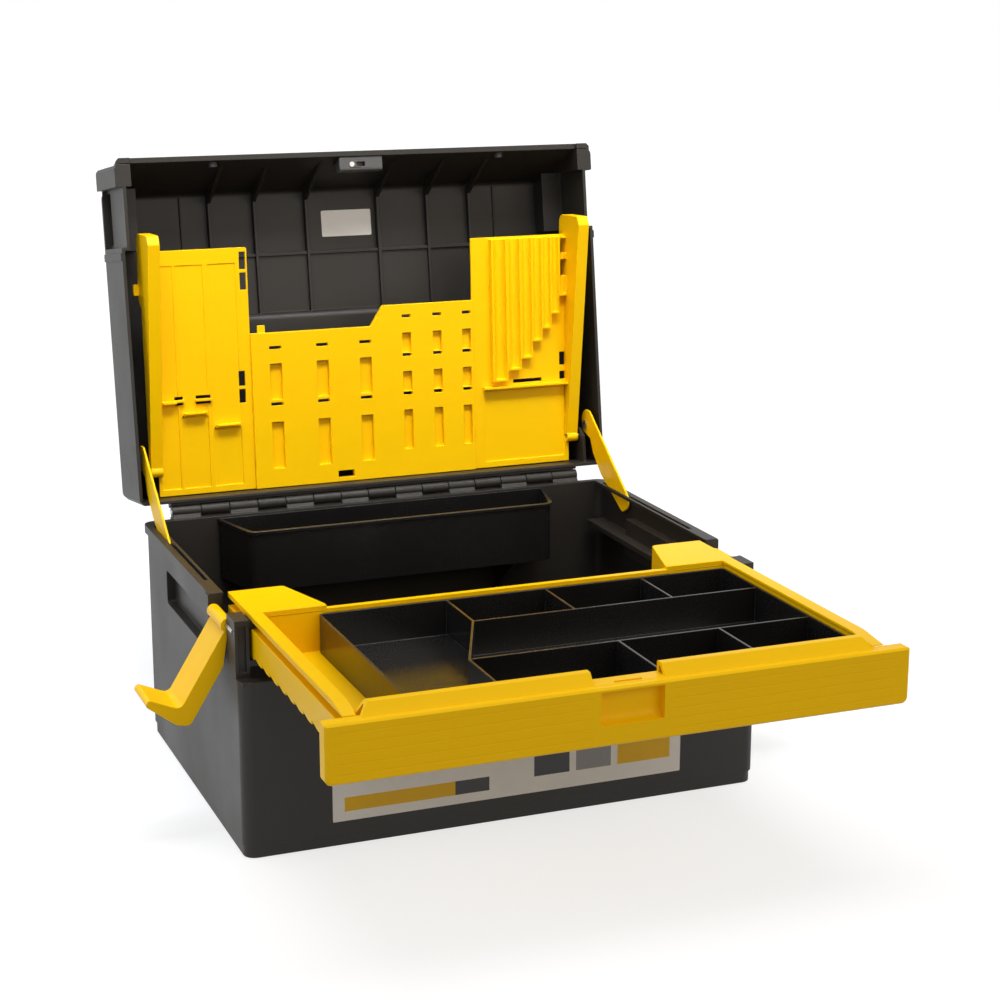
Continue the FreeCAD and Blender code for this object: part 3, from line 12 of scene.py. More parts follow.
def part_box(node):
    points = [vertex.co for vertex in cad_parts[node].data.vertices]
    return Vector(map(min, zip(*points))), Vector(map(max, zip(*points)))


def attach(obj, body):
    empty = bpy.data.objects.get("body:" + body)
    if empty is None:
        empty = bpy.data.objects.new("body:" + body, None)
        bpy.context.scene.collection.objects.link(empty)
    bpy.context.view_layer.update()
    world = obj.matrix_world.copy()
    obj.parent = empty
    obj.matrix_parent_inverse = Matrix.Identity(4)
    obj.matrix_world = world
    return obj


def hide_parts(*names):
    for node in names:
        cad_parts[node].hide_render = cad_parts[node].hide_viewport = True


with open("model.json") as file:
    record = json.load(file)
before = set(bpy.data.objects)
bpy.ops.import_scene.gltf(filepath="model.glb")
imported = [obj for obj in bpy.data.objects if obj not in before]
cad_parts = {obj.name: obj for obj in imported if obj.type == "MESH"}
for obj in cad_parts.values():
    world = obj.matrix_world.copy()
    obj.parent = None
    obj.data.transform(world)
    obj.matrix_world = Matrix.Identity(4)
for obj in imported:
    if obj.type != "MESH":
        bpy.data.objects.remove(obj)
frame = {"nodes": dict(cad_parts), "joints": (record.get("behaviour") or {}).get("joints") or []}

LOG = logging.getLogger("tool_box")
MM = 0.001

Colour = tuple[float, float, float]
Paint = tuple[float, float, float, float]
Point = tuple[float, float, float]
Span = tuple[float, float]
Socket = bpy.types.NodeSocket

# The whole range of a mask, and the range that noise mostly keeps to
FULL: Span = (0.0, 1.0)
NOISE: Span = (0.3, 0.7)

# Colour sockets of Blender's mix node
MIX_INPUTS = (6, 7)
MIX_RESULT = 2

# Rays that a rounded normal is averaged over, and its agreement with the true one on flat faces and edges
EDGE_SAMPLES = 6
EDGE_AGREEMENT: Span = (0.995, 0.86)


class Body(Enum):
    """Bodies of the frame that pieces ride on."""

    BASE = "base"
    LID = "lid"
    ORGANISER = "organiser"
    STAY_LEFT = "stay_left_arm"
    STAY_RIGHT = "stay_right_arm"
    LATCH_LEFT = "left_latch"
    LATCH_RIGHT = "right_latch"
    DRAWER = "drawer"
    HANDLE = "handle"


class Slot(Enum):
    """Material slots named in the record."""

    BLACK_BODY = "black_body"
    BLACK_TRAY = "black_tray"
    YELLOW_BODY = "yellow_body"
    GREY_CATCH = "grey_catch"


class Ink(Enum):
    """Finishes that labels are printed with, by their names in Finishes."""

    PAPER = "paper"
    WHITE = "white_paper"
    YELLOW = "ink_yellow"
    DARK = "ink_dark"
    GREY = "ink_grey"


def linear(red: float, green: float, blue: float) -> Colour:
    """Turns a display colour into the linear one that shaders take.

    Args:
        red: Red from 0 to 255.
        green: Green from 0 to 255.
        blue: Blue from 0 to 255.

    Returns:
        The three linear channels from 0 to 1.
    """
    out = []
    for value in (red, green, blue):
        c = value / 255.0
        out.append(c / 12.92 if c <= 0.04045 else ((c + 0.055) / 1.055) ** 2.4)
    return out[0], out[1], out[2]


def shade(colour: Colour, factor: float = 1.0) -> Paint:
    """Scales a linear colour and adds full opacity.

    Args:
        colour: The linear colour.
        factor: What each channel is multiplied by.

    Returns:
        Red, green, blue and alpha.
    """
    return tuple(min(1.0, c * factor) for c in colour) + (1.0,)


@dataclass(frozen=True)
class Waves:
    """Noise of one size on Object coordinates, in waves per metre."""

    scale: float
    octaves: float
    stretch: Point = (1.0, 1.0, 1.0)


class Graph:
    """Adds and links the shader nodes of one material or of the world."""

    def __init__(self, owner: bpy.types.Material | bpy.types.World) -> None:
        """Clears the owner's nodes and adds its output.

        Args:
            owner: Material or world that gets the nodes.
        """
        owner.use_nodes = True
        self.tree = owner.node_tree
        self.tree.nodes.clear()
        kind = "ShaderNodeOutputMaterial"
        if isinstance(owner, bpy.types.World):
            kind = "ShaderNodeOutputWorld"
        self.output = self.tree.nodes.new(kind)

    @cached_property
    def place(self) -> Socket:
        """Gives Object coordinates."""
        return self.tree.nodes.new("ShaderNodeTexCoord").outputs["Object"]

    def feed(self, target: Socket, value: object) -> None:
        """Links a socket to an input, or writes a number or colour into it.

        Args:
            target: The input.
            value: What goes into it.
        """
        if isinstance(value, Socket):
            self.tree.links.new(value, target)
        else:
            target.default_value = value

    def add(self, kind: str, **values: object) -> bpy.types.Node:
        """Adds a node and feeds its inputs by name.

        Args:
            kind: Blender's name for the node type.
            values: Input values or sockets, with underscores for spaces.

        Returns:
            The new node.
        """
        node = self.tree.nodes.new(kind)
        for key, value in values.items():
            self.feed(node.inputs[key.replace("_", " ")], value)
        return node

    def noise(self, waves: Waves) -> Socket:
        """Adds noise on Object coordinates.

        Args:
            waves: Size and stretch of the noise.

        Returns:
            The noise value from about 0 to 1.
        """
        mapping = self.add("ShaderNodeMapping", Vector=self.place, Scale=waves.stretch)
        node = self.add(
            "ShaderNodeTexNoise", Vector=mapping.outputs[0], Scale=waves.scale, Detail=waves.octaves
        )
        return node.outputs[0]

    def span(self, value: Socket, source: Span, target: Span) -> Socket:
        """Maps a value from one range to another and holds it there.

        Args:
            value: The socket to map.
            source: Range that the value comes from.
            target: Range that it goes to.

        Returns:
            The mapped socket.
        """
        node = self.add(
            "ShaderNodeMapRange", Value=value,
            From_Min=source[0], From_Max=source[1], To_Min=target[0], To_Max=target[1],
        )
        return node.outputs[0]

    def blend(self, factor: Socket, first: Socket | Paint, second: Socket | Paint) -> Socket:
        """Blends two colours by a factor.

        Args:
            factor: Socket from 0 to 1.
            first: Colour or socket at 0.
            second: Colour or socket at 1.

        Returns:
            The blended colour.
        """
        node = self.tree.nodes.new("ShaderNodeMix")
        node.data_type = "RGBA"
        self.feed(node.inputs[0], factor)
        for index, value in zip(MIX_INPUTS, (first, second)):
            self.feed(node.inputs[index], value)
        return node.outputs[MIX_RESULT]

    def arithmetic(self, operation: str, first: Socket | float, second: Socket | float) -> Socket:
        """Adds one arithmetic step.

        Args:
            operation: Blender's name for the step.
            first: First number or socket.
            second: Second number or socket.

        Returns:
            The result.
        """
        node = self.tree.nodes.new("ShaderNodeMath")
        node.operation = operation
        self.feed(node.inputs[0], first)
        self.feed(node.inputs[1], second)
        return node.outputs[0]

    def plus(self, first: Socket | float, second: Socket | float) -> Socket:
        """Adds two values."""
        return self.arithmetic("ADD", first, second)

    def times(self, first: Socket | float, second: Socket | float) -> Socket:
        """Multiplies two values."""
        return self.arithmetic("MULTIPLY", first, second)

    def larger(self, first: Socket | float, second: Socket | float) -> Socket:
        """Gives the larger of two values."""
        return self.arithmetic("MAXIMUM", first, second)

    def measure(self, operation: str, *vectors: Socket) -> Socket:
        """Adds a vector step that gives a number.

        Args:
            operation: Blender's name for the step.
            vectors: The vectors that it takes.

        Returns:
            The number.
        """
        node = self.tree.nodes.new("ShaderNodeVectorMath")
        node.operation = operation
        for target, vector in zip(node.inputs, vectors):
            self.feed(target, vector)
        return node.outputs["Value"]

    def rounded_normal(self, radius: float) -> Socket:
        """Gives the normal that a small edge radius would have.

        Args:
            radius: Edge radius in metres.

        Returns:
            The normal.
        """
        node = self.add("ShaderNodeBevel", Radius=radius)
        node.samples = EDGE_SAMPLES
        return node.outputs[0]

    def edge_mask(self, radius: float) -> Socket:
        """Finds edges, where the rounded normal leaves the true one.

        Args:
            radius: How far from the edge the mask reaches, in metres.

        Returns:
            A value near 1 on edges and 0 on flat faces.
        """
        normal = self.add("ShaderNodeNewGeometry").outputs["Normal"]
        agreement = self.measure("DOT_PRODUCT", self.rounded_normal(radius), normal)
        return self.span(agreement, EDGE_AGREEMENT, FULL)

    def bump(self, height: Socket, strength: float, depth: float, normal: Socket | None = None) -> Socket:
        """Turns a height into a bumped normal.

        Args:
            height: Height from 0 to 1.
            strength: Share of the effect.
            depth: Full height in metres.
            normal: Normal that the bump starts from.

        Returns:
            The bumped normal.
        """
        node = self.add("ShaderNodeBump", Height=height, Strength=strength, Distance=depth)
        if normal is not None:
            self.feed(node.inputs["Normal"], normal)
        return node.outputs[0]

    def finish(self, shader: bpy.types.Node) -> None:
        """Links the shader to the output."""
        self.tree.links.new(shader.outputs[0], self.output.inputs["Surface"])


@dataclass(frozen=True)
class Finish:
    """A coloured finish that makes its own material."""

    name: str
    colour: Colour

    def make(self) -> bpy.types.Material:
        """Makes the material.

        Returns:
            The finished material.
        """
        material = bpy.data.materials.new(self.name)
        g = Graph(material)
        g.finish(self.surface(g))
        return material

    def surface(self, g: Graph) -> bpy.types.Node:
        """Builds the shader, in each finish's own way."""
        raise NotImplementedError

    def between(self, g: Graph, mix: Socket, shades: Span) -> Socket:
        """Blends two shades of the finish's colour."""
        return g.blend(mix, shade(self.colour, shades[0]), shade(self.colour, shades[1]))


@dataclass(frozen=True)
class MouldedPlastic(Finish):
    """Injection-moulded plastic with a spark-eroded grain, flow marks, and edges lightened partly as rubbed
    wear and partly as a painted highlight.
    """

    roughness: float
    specular: float = 0.5
    edge_radius: float = 0.6 * MM
    mottle: float = 0.05
    cloud: Waves = Waves(11.0, 4.0)
    cloud_share: float = 0.6
    cloud_rough: float = 0.05
    flow: Waves = Waves(16.0, 3.0, (1.0, 6.0, 6.0))
    grain: Waves = Waves(1500.0, 2.0)
    grain_depth: float = 0.06 * MM
    grain_share: float = 0.8
    grain_rough: float = 0.04
    ripple: Waves = Waves(140.0, 2.0)
    ripple_depth: float = 0.12 * MM
    ripple_share: float = 0.6
    # Edges are lightened in colour, partly as rubbed wear and partly as a painted highlight along the
    # edges; this noise breaks the lightening up
    edge_breakup: Waves = Waves(60.0, 5.0)
    edge_breakup_from: Span = (0.35, 0.7)
    edge_breakup_to: Span = (0.2, 1.0)
    wear_and_highlight_share: float = 0.25
    wear_and_highlight_reach: float = 1.1 * MM
    wear_and_highlight_lift: float = 1.5
    rub_rough: float = 0.25
    specks: Waves = Waves(2600.0, 1.0)
    speck_from: Span = (0.68, 0.8)
    dust: float = 0.0
    dust_colour: Colour = (0.55, 0.54, 0.52)

    def surface(self, g: Graph) -> bpy.types.Node:
        """Builds the plastic's shader.

        Args:
            g: The graph to add to.

        Returns:
            The shader.
        """
        cloud = g.noise(self.cloud)
        grain = g.noise(self.grain)
        worn_and_highlit_edges = self.worn_and_highlit_edges(g)
        # Lighter edge colour: rubbed wear and a painted edge highlight
        worn_and_highlit_colour = shade(self.colour, self.wear_and_highlight_lift)
        base = g.blend(g.times(worn_and_highlit_edges, self.wear_and_highlight_share), self.tint(g, cloud), worn_and_highlit_colour)
        rough = g.plus(g.span(cloud, NOISE, (-self.cloud_rough, self.cloud_rough)), self.roughness)
        rough = g.plus(rough, g.span(grain, NOISE, (-self.grain_rough, self.grain_rough)))
        rough = g.plus(rough, g.times(worn_and_highlit_edges, self.rub_rough))
        normal = g.rounded_normal(self.edge_radius)
        normal = g.bump(g.noise(self.ripple), self.ripple_share, self.ripple_depth, normal)
        normal = g.bump(grain, self.grain_share, self.grain_depth, normal)
        return g.add(
            "ShaderNodeBsdfPrincipled", Base_Color=base, Roughness=rough, Normal=normal,
            Specular_IOR_Level=self.specular,
        )

    def tint(self, g: Graph, cloud: Socket) -> Socket:
        """Mixes the plastic's colour with its clouds, flow marks and dust.

        Args:
            g: The graph to add to.
            cloud: The broad noise.

        Returns:
            The colour before the edges are lightened for wear and painted highlight.
        """
        flow = g.times(g.noise(self.flow), 1.0 - self.cloud_share)
        tone = g.plus(g.times(cloud, self.cloud_share), flow)
        base = self.between(g, g.span(tone, NOISE, FULL), (1.0 - self.mottle, 1.0 + self.mottle))
        dusty = g.span(g.noise(self.specks), self.speck_from, (0.0, self.dust))
        return g.blend(dusty, base, shade(self.dust_colour))

    def worn_and_highlit_edges(self, g: Graph) -> Socket:
        """Finds the edges that are lightened for rubbed wear and a painted highlight, and breaks them up.

        Args:
            g: The graph to add to.

        Returns:
            A value near 1 on edges, where the plastic is worn and a highlight is painted.
        """
        uneven = g.span(g.noise(self.edge_breakup), self.edge_breakup_from, self.edge_breakup_to)
        return g.times(g.edge_mask(self.wear_and_highlight_reach), uneven)


@dataclass(frozen=True)
class DrawnSteel(Finish):
    """Bright drawn wire with fine lines along its length."""

    roughness: float = 0.3
    lines: Waves = Waves(1.0, 3.0, (20.0, 900.0, 900.0))
    line_depth: float = 0.03 * MM
    line_share: float = 0.3
    line_rough: Span = (-0.08, 0.1)
    stain: Waves = Waves(90.0, 4.0)
    stain_from: Span = (0.35, 0.7)
    stain_shades: Span = (1.05, 0.8)

    def surface(self, g: Graph) -> bpy.types.Node:
        """Builds the steel's shader.

        Args:
            g: The graph to add to.

        Returns:
            The shader.
        """
        lines = g.noise(self.lines)
        base = self.between(g, g.span(g.noise(self.stain), self.stain_from, FULL), self.stain_shades)
        rough = g.plus(g.span(lines, NOISE, self.line_rough), self.roughness)
        normal = g.bump(lines, self.line_share, self.line_depth)
        return g.add(
            "ShaderNodeBsdfPrincipled", Base_Color=base, Roughness=rough, Normal=normal, Metallic=1.0
        )


@dataclass(frozen=True)
class Rubber(Finish):
    """Dull rubber with a pitted skin."""

    pits: Waves = Waves(1800.0, 3.0)
    pit_depth: float = 0.08 * MM
    pit_share: float = 0.7
    pit_rough: Span = (0.72, 0.9)
    bloom: Waves = Waves(120.0, 4.0)
    bloom_shades: Span = (0.8, 1.5)

    def surface(self, g: Graph) -> bpy.types.Node:
        """Builds the rubber's shader.

        Args:
            g: The graph to add to.

        Returns:
            The shader.
        """
        pits = g.noise(self.pits)
        base = self.between(g, g.span(g.noise(self.bloom), NOISE, FULL), self.bloom_shades)
        rough = g.span(pits, NOISE, self.pit_rough)
        normal = g.bump(pits, self.pit_share, self.pit_depth)
        return g.add("ShaderNodeBsdfPrincipled", Base_Color=base, Roughness=rough, Normal=normal)


@dataclass(frozen=True)
class PrintedPaper(Finish):
    """Coated label paper with fine fibres and slightly uneven ink."""

    roughness: float = 0.42
    fibre: Waves = Waves(700.0, 4.0, (1.0, 1.0, 3.0))
    fibre_depth: float = 0.03 * MM
    fibre_bump: float = 0.4
    fibre_share: float = 0.35
    wash: Waves = Waves(25.0, 3.0)
    wash_rough: float = 0.06
    ink_from: Span = (0.35, 0.65)
    ink_shades: Span = (0.93, 1.03)

    def surface(self, g: Graph) -> bpy.types.Node:
        """Builds the paper's shader.

        Args:
            g: The graph to add to.

        Returns:
            The shader.
        """
        fibre = g.noise(self.fibre)
        wash = g.noise(self.wash)
        ink = g.plus(g.times(fibre, self.fibre_share), g.times(wash, 1.0 - self.fibre_share))
        base = self.between(g, g.span(ink, self.ink_from, FULL), self.ink_shades)
        rough = g.plus(g.span(wash, NOISE, (-self.wash_rough, self.wash_rough)), self.roughness)
        normal = g.bump(fibre, self.fibre_bump, self.fibre_depth)
        return g.add("ShaderNodeBsdfPrincipled", Base_Color=base, Roughness=rough, Normal=normal)


@dataclass(frozen=True)
class Finishes:
    """All finishes of the tool box, made once."""

    yellow: bpy.types.Material
    lined_yellow: bpy.types.Material
    black: bpy.types.Material
    gloss_black: bpy.types.Material
    grey: bpy.types.Material
    steel: bpy.types.Material
    rubber: bpy.types.Material
    paper: bpy.types.Material
    white_paper: bpy.types.Material
    ink_yellow: bpy.types.Material
    ink_dark: bpy.types.Material
    ink_grey: bpy.types.Material

    @classmethod
    def mix(cls) -> "Finishes":
        """Mixes every finish.

        Returns:
            The set of materials.
        """
        # The edge lightening of each plastic is partly rubbed wear and partly a painted highlight on the
        # edges
        yellow = MouldedPlastic(
            "yellow_plastic", linear(255, 201, 0), roughness=0.4,
            specular=0.14, mottle=0.03, wear_and_highlight_share=0.3, wear_and_highlight_lift=1.15,
        )
        lined = replace(yellow, name="lined_yellow_plastic", edge_radius=0.2 * MM, wear_and_highlight_share=0.0)
        black = MouldedPlastic(
            "black_plastic", linear(36, 33, 30), roughness=0.48,
            specular=0.36, mottle=0.1, grain_depth=0.1 * MM, wear_and_highlight_lift=2.2, dust=0.06,
        )
        # Gloss black gets strongly lightened edges, mostly a painted highlight along its rims
        gloss = MouldedPlastic(
            "gloss_black_plastic", linear(25, 24, 24), roughness=0.24,
            mottle=0.08, grain_depth=0.02 * MM, wear_and_highlight_share=0.7, wear_and_highlight_lift=8.0,
        )
        grey = MouldedPlastic("grey_plastic", linear(74, 74, 74), roughness=0.42, wear_and_highlight_lift=1.3)
        return cls(
            yellow=yellow.make(),
            lined_yellow=lined.make(),
            black=black.make(),
            gloss_black=gloss.make(),
            grey=grey.make(),
            steel=DrawnSteel("drawn_steel", (0.58, 0.58, 0.6)).make(),
            rubber=Rubber("buffer_rubber", linear(32, 32, 33)).make(),
            paper=PrintedPaper("label_paper", linear(250, 249, 247)).make(),
            white_paper=PrintedPaper("white_label_paper", linear(252, 252, 252)).make(),
            ink_yellow=PrintedPaper("label_yellow", linear(240, 190, 20)).make(),
            ink_dark=PrintedPaper("label_dark", linear(40, 38, 38)).make(),
            ink_grey=PrintedPaper("label_grey", linear(150, 150, 152)).make(),
        )


def deselect_all() -> None:
    """Leaves edit mode and clears the selection."""
    if bpy.context.object is not None and bpy.context.object.mode != "OBJECT":
        bpy.ops.object.mode_set(mode="OBJECT")
    bpy.ops.object.select_all(action="DESELECT")


def activate(piece: bpy.types.Object) -> None:
    """Selects one piece alone and makes it active.

    Args:
        piece: The piece to work on.
    """
    deselect_all()
    piece.select_set(True)
    bpy.context.view_layer.objects.active = piece


def dress(piece: bpy.types.Object, material: bpy.types.Material) -> None:
    """Gives a piece one material in its first slot.

    Args:
        piece: The piece to dress.
        material: Its finish.
    """
    if piece.data.materials:
        piece.data.materials[0] = material
    else:
        piece.data.materials.append(material)


def keep_node(node: str, material: bpy.types.Material) -> None:
    """Dresses a CAD node that stays as it is."""
    dress(frame["nodes"][node], material)
    LOG.info("%s dressed in %s", node, material.name)


@dataclass
class RoundedNode:
    """A CAD node's finished copy with softened edges and smooth curves."""

    node: str
    body: Body
    slot: Slot
    radius: float
    rings: int = 2
    sharp_deg: float = 28.0
    smooth_deg: float = 40.0
    merge: float = 0.004 * MM

    def build(self, material: bpy.types.Material) -> bpy.types.Object:
        """Copies the node's mesh, rounds it and lets it stand for the node.

        Args:
            material: Finish of the piece.

        Returns:
            The piece that stands for the node.
        """
        source = frame["nodes"][self.node]
        piece = bpy.data.objects.new(self.node + "_finished", source.data.copy())
        bpy.context.scene.collection.objects.link(piece)
        piece.data.materials.clear()
        piece.data.materials.append(material)
        activate(piece)
        self.round_edges()
        for polygon in piece.data.polygons:
            polygon.material_index = 0
        self.smooth(piece)
        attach(piece, self.body.value)
        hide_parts(self.node)
        count = len(piece.data.polygons)
        LOG.info("%s rounded by %.2f mm, %d faces", piece.name, self.radius / MM, count)
        return piece

    def round_edges(self) -> None:
        """Merges the active piece's loose triangles and bevels its sharp edges."""
        bpy.ops.object.mode_set(mode="EDIT")
        bpy.ops.mesh.select_mode(type="EDGE")
        bpy.ops.mesh.select_all(action="SELECT")
        bpy.ops.mesh.remove_doubles(threshold=self.merge)
        bpy.ops.mesh.select_all(action="DESELECT")
        bpy.ops.mesh.edges_select_sharp(sharpness=math.radians(self.sharp_deg))
        bpy.ops.mesh.bevel(
            offset=self.radius, segments=self.rings, profile=0.5, clamp_overlap=False, affect="EDGES",
            face_strength_mode="ALL",
        )
        bpy.ops.object.mode_set(mode="OBJECT")

    def smooth(self, piece: bpy.types.Object) -> None:
        """Shades the active piece smooth and keeps its flat faces flat.

        Args:
            piece: The active piece.
        """
        bpy.ops.object.shade_smooth_by_angle(angle=math.radians(self.smooth_deg))
        normals = piece.modifiers.new("flat_faces", "WEIGHTED_NORMAL")
        normals.keep_sharp = True
        normals.use_face_influence = True
        bpy.ops.object.modifier_apply(modifier=normals.name)


@dataclass(frozen=True)
class ColourField:
    """One plain rectangle of ink, in millimetres from the label's middle."""

    left: float
    right: float
    low: float
    high: float
    ink: Ink

    def edges(self) -> list[tuple[Vector, Vector]]:
        """Finds the field's four edges.

        Returns:
            A point on each edge and the direction across it.
        """
        across = Vector((1.0, 0.0, 0.0))
        upward = Vector((0.0, 1.0, 0.0))
        sides = [(across * x * MM, across) for x in (self.left, self.right)]
        return sides + [(upward * y * MM, upward) for y in (self.low, self.high)]

    def holds(self, spot: Vector) -> bool:
        """Says whether a point of the label lies in the field."""
        x, y, _ = spot / MM
        return self.left < x < self.right and self.low < y < self.high


@dataclass
class Label:
    """Thin printed label with plain colour fields."""

    name: str
    body: Body
    width: float
    height: float
    corner: float
    turn: Matrix
    ground: Ink = Ink.PAPER
    fields: tuple[ColourField, ...] = ()
    thick: float = 0.2 * MM
    corner_rings: int = 4

    def build(self, finishes: Finishes) -> bpy.types.Object:
        """Models the label as a thin printed plate and puts it in its place.

        Args:
            finishes: The finishes to print with.

        Returns:
            The label.
        """
        piece = self.sheet()
        self.print_fields(piece, finishes)
        wall = piece.modifiers.new("thickness", "SOLIDIFY")
        wall.thickness = self.thick
        wall.offset = 1.0
        bpy.ops.object.modifier_apply(modifier=wall.name)
        piece.data.transform(self.turn)
        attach(piece, self.body.value)
        LOG.info("%s placed", self.name)
        return piece

    def sheet(self) -> bpy.types.Object:
        """Adds a flat sheet, rounds its corners and cuts it along the fields' edges.

        Returns:
            The sheet.
        """
        deselect_all()
        bpy.ops.mesh.primitive_plane_add(size=1.0, location=(0.0, 0.0, 0.0))
        piece = bpy.context.object
        piece.name = self.name
        bpy.ops.object.mode_set(mode="EDIT")
        bpy.ops.transform.resize(value=(self.width, self.height, 1.0))
        bpy.ops.mesh.select_all(action="SELECT")
        bpy.ops.mesh.bevel(offset=self.corner, segments=self.corner_rings, affect="VERTICES")
        for patch in self.fields:
            for spot, normal in patch.edges():
                bpy.ops.mesh.select_all(action="SELECT")
                bpy.ops.mesh.bisect(plane_co=spot, plane_no=normal)
        bpy.ops.object.mode_set(mode="OBJECT")
        return piece

    def print_fields(self, piece: bpy.types.Object, finishes: Finishes) -> None:
        """Gives the ground and each field its ink.

        Args:
            piece: The cut sheet.
            finishes: The finishes to print with.
        """
        piece.data.materials.append(getattr(finishes, self.ground.value))
        for patch in self.fields:
            index = self.ink_index(piece, getattr(finishes, patch.ink.value))
            for polygon in piece.data.polygons:
                if patch.holds(polygon.center):
                    polygon.material_index = index

    def ink_index(self, piece: bpy.types.Object, material: bpy.types.Material) -> int:
        """Finds or adds a material slot.

        Args:
            piece: The label.
            material: The ink.

        Returns:
            Index of the slot.
        """
        names = [m.name for m in piece.data.materials]
        if material.name not in names:
            piece.data.materials.append(material)
            names.append(material.name)
        return names.index(material.name)


@dataclass
class Tub:
    """Tub with rear tray, pins and a plain front label."""

    edge: float = 0.5 * MM
    tray_edge: float = 0.5 * MM
    label_w: float = 310.0 * MM
    label_h: float = 100.0 * MM
    label_low: float = 21.0 * MM
    label_corner: float = 0.8 * MM
    label_fields: tuple[ColourField, ...] = (
        ColourField(-145.0, -50.0, -42.0, -30.0, Ink.YELLOW),
        ColourField(-50.0, -20.0, -42.0, -30.0, Ink.DARK),
        ColourField(20.0, 52.0, -36.0, -4.0, Ink.DARK),
        ColourField(58.0, 90.0, -36.0, -4.0, Ink.GREY),
        ColourField(96.0, 145.0, -36.0, -4.0, Ink.YELLOW),
    )

    def build(self, finishes: Finishes) -> None:
        """Dresses the tub's pieces and sticks the label on its front.

        Args:
            finishes: The finishes of the tool box.
        """
        RoundedNode("tub", Body.BASE, Slot.BLACK_BODY, self.edge).build(finishes.black)
        RoundedNode("rear_tray", Body.BASE, Slot.BLACK_TRAY, self.tray_edge).build(finishes.gloss_black)
        for pin in ("hinge_pin", "latch_pins"):
            keep_node(pin, finishes.steel)
        label = Label(
            "front_label", Body.BASE, self.label_w, self.label_h, self.label_corner, self.front_place(),
            fields=self.label_fields,
        )
        label.build(finishes)

    def front_place(self) -> Matrix:
        """Finds the label's place and turn on the tub's front.

        Returns:
            The matrix from the label's own plane to the tub's front.
        """
        low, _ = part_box("tub")
        middle = Vector((0.0, low[1], self.label_low + 0.5 * self.label_h))
        return Matrix.Translation(middle) @ Matrix.Rotation(math.radians(90.0), 4, "X")


@dataclass
class Lid:
    """Lid shell with catch, buffers, pins and a blank inner label."""

    edge: float = 0.45 * MM
    catch_edge: float = 0.5 * MM
    label_w: float = 50.0 * MM
    label_h: float = 25.0 * MM
    label_corner: float = 1.5 * MM
    label_x: float = 5.0 * MM
    label_from_hinge: float = 256.5 * MM
    skin_height: float = 73.0 * MM

    def build(self, finishes: Finishes) -> None:
        """Dresses the lid's pieces and places the inner label.

        Args:
            finishes: The finishes of the tool box.
        """
        RoundedNode("lid_shell", Body.LID, Slot.BLACK_BODY, self.edge).build(finishes.black)
        RoundedNode("centre_catch", Body.LID, Slot.GREY_CATCH, self.catch_edge).build(finishes.grey)
        for pin in ("catch_rivet", "stay_pins", "panel_pins", "handle_pins"):
            keep_node(pin, finishes.steel)
        keep_node("lid_buffers", finishes.rubber)
        label = Label(
            "lid_label", Body.LID, self.label_w, self.label_h, self.label_corner, self.inner_place(),
            ground=Ink.WHITE,
        )
        label.build(finishes)

    def inner_place(self) -> Matrix:
        """Finds the inner skin's place and turn with the lid open.

        Returns:
            The matrix from the label's own plane to the open lid's inner skin.
        """
        joint = next(j for j in frame["joints"] if j["name"] == "lid_hinge")
        hinge = Vector(joint["pos_m"])
        swing = Matrix.Rotation(-math.radians(joint["range_deg"][1]), 4, "X")
        shut = Vector((self.label_x, -self.label_from_hinge, self.skin_height))
        face_down = Matrix.Rotation(math.pi, 4, "X")
        return Matrix.Translation(hinge) @ swing @ Matrix.Translation(shut) @ face_down


@dataclass
class Organiser:
    """Yellow organiser panel in the lid."""

    edge: float = 0.35 * MM

    def build(self, finishes: Finishes) -> None:
        """Dresses the panel."""
        panel = RoundedNode("organiser_panel", Body.ORGANISER, Slot.YELLOW_BODY, self.edge)
        panel.build(finishes.yellow)


@dataclass
class Stays:
    """Two yellow lid stays."""

    edge: float = 0.45 * MM

    def build(self, finishes: Finishes) -> None:
        """Dresses both stays."""
        for node, body in (("stay_left", Body.STAY_LEFT), ("stay_right", Body.STAY_RIGHT)):
            RoundedNode(node, body, Slot.YELLOW_BODY, self.edge).build(finishes.yellow)


@dataclass
class Latches:
    """Two yellow side latches."""

    edge: float = 0.3 * MM

    def build(self, finishes: Finishes) -> None:
        """Dresses both latches."""
        for node, body in (("latch_left", Body.LATCH_LEFT), ("latch_right", Body.LATCH_RIGHT)):
            RoundedNode(node, body, Slot.YELLOW_BODY, self.edge).build(finishes.yellow)


@dataclass
class Drawer:
    """Drawer frame, its front and the compartment insert."""

    edge: float = 0.5 * MM
    front_edge: float = 0.09 * MM
    insert_edge: float = 0.4 * MM

    def build(self, finishes: Finishes) -> None:
        """Dresses the drawer's three pieces.

        Args:
            finishes: The finishes of the tool box.
        """
        rows = (
            ("drawer_frame", Slot.YELLOW_BODY, self.edge, finishes.yellow),
            ("drawer_front", Slot.YELLOW_BODY, self.front_edge, finishes.lined_yellow),
            ("drawer_insert", Slot.BLACK_TRAY, self.insert_edge, finishes.gloss_black),
        )
        for node, slot, edge, material in rows:
            RoundedNode(node, Body.DRAWER, slot, edge).build(material)


@dataclass
class CarryHandle:
    """Folding handle on the lid."""

    edge: float = 0.5 * MM

    def build(self, finishes: Finishes) -> None:
        """Dresses the handle."""
        RoundedNode("carry_handle", Body.HANDLE, Slot.BLACK_BODY, self.edge).build(finishes.black)


@dataclass
class Lamp:
    """One soft studio lamp."""

    name: str
    place: Point
    aim: Point
    width: float
    height: float
    power: float
    spread_deg: float = 180.0
    colour: Colour = (1.0, 1.0, 1.0)

    def build(self) -> None:
        """Adds the lamp and turns it to its aim."""
        data = bpy.data.lights.new(self.name, "AREA")
        data.shape = "RECTANGLE"
        data.size = self.width
        data.size_y = self.height
        data.energy = self.power
        data.color = self.colour
        data.spread = math.radians(self.spread_deg)
        lamp = bpy.data.objects.new(self.name, data)
        lamp.location = self.place
        sight = Vector(self.aim) - Vector(self.place)
        lamp.rotation_euler = sight.to_track_quat("-Z", "Y").to_euler()
        bpy.context.scene.collection.objects.link(lamp)


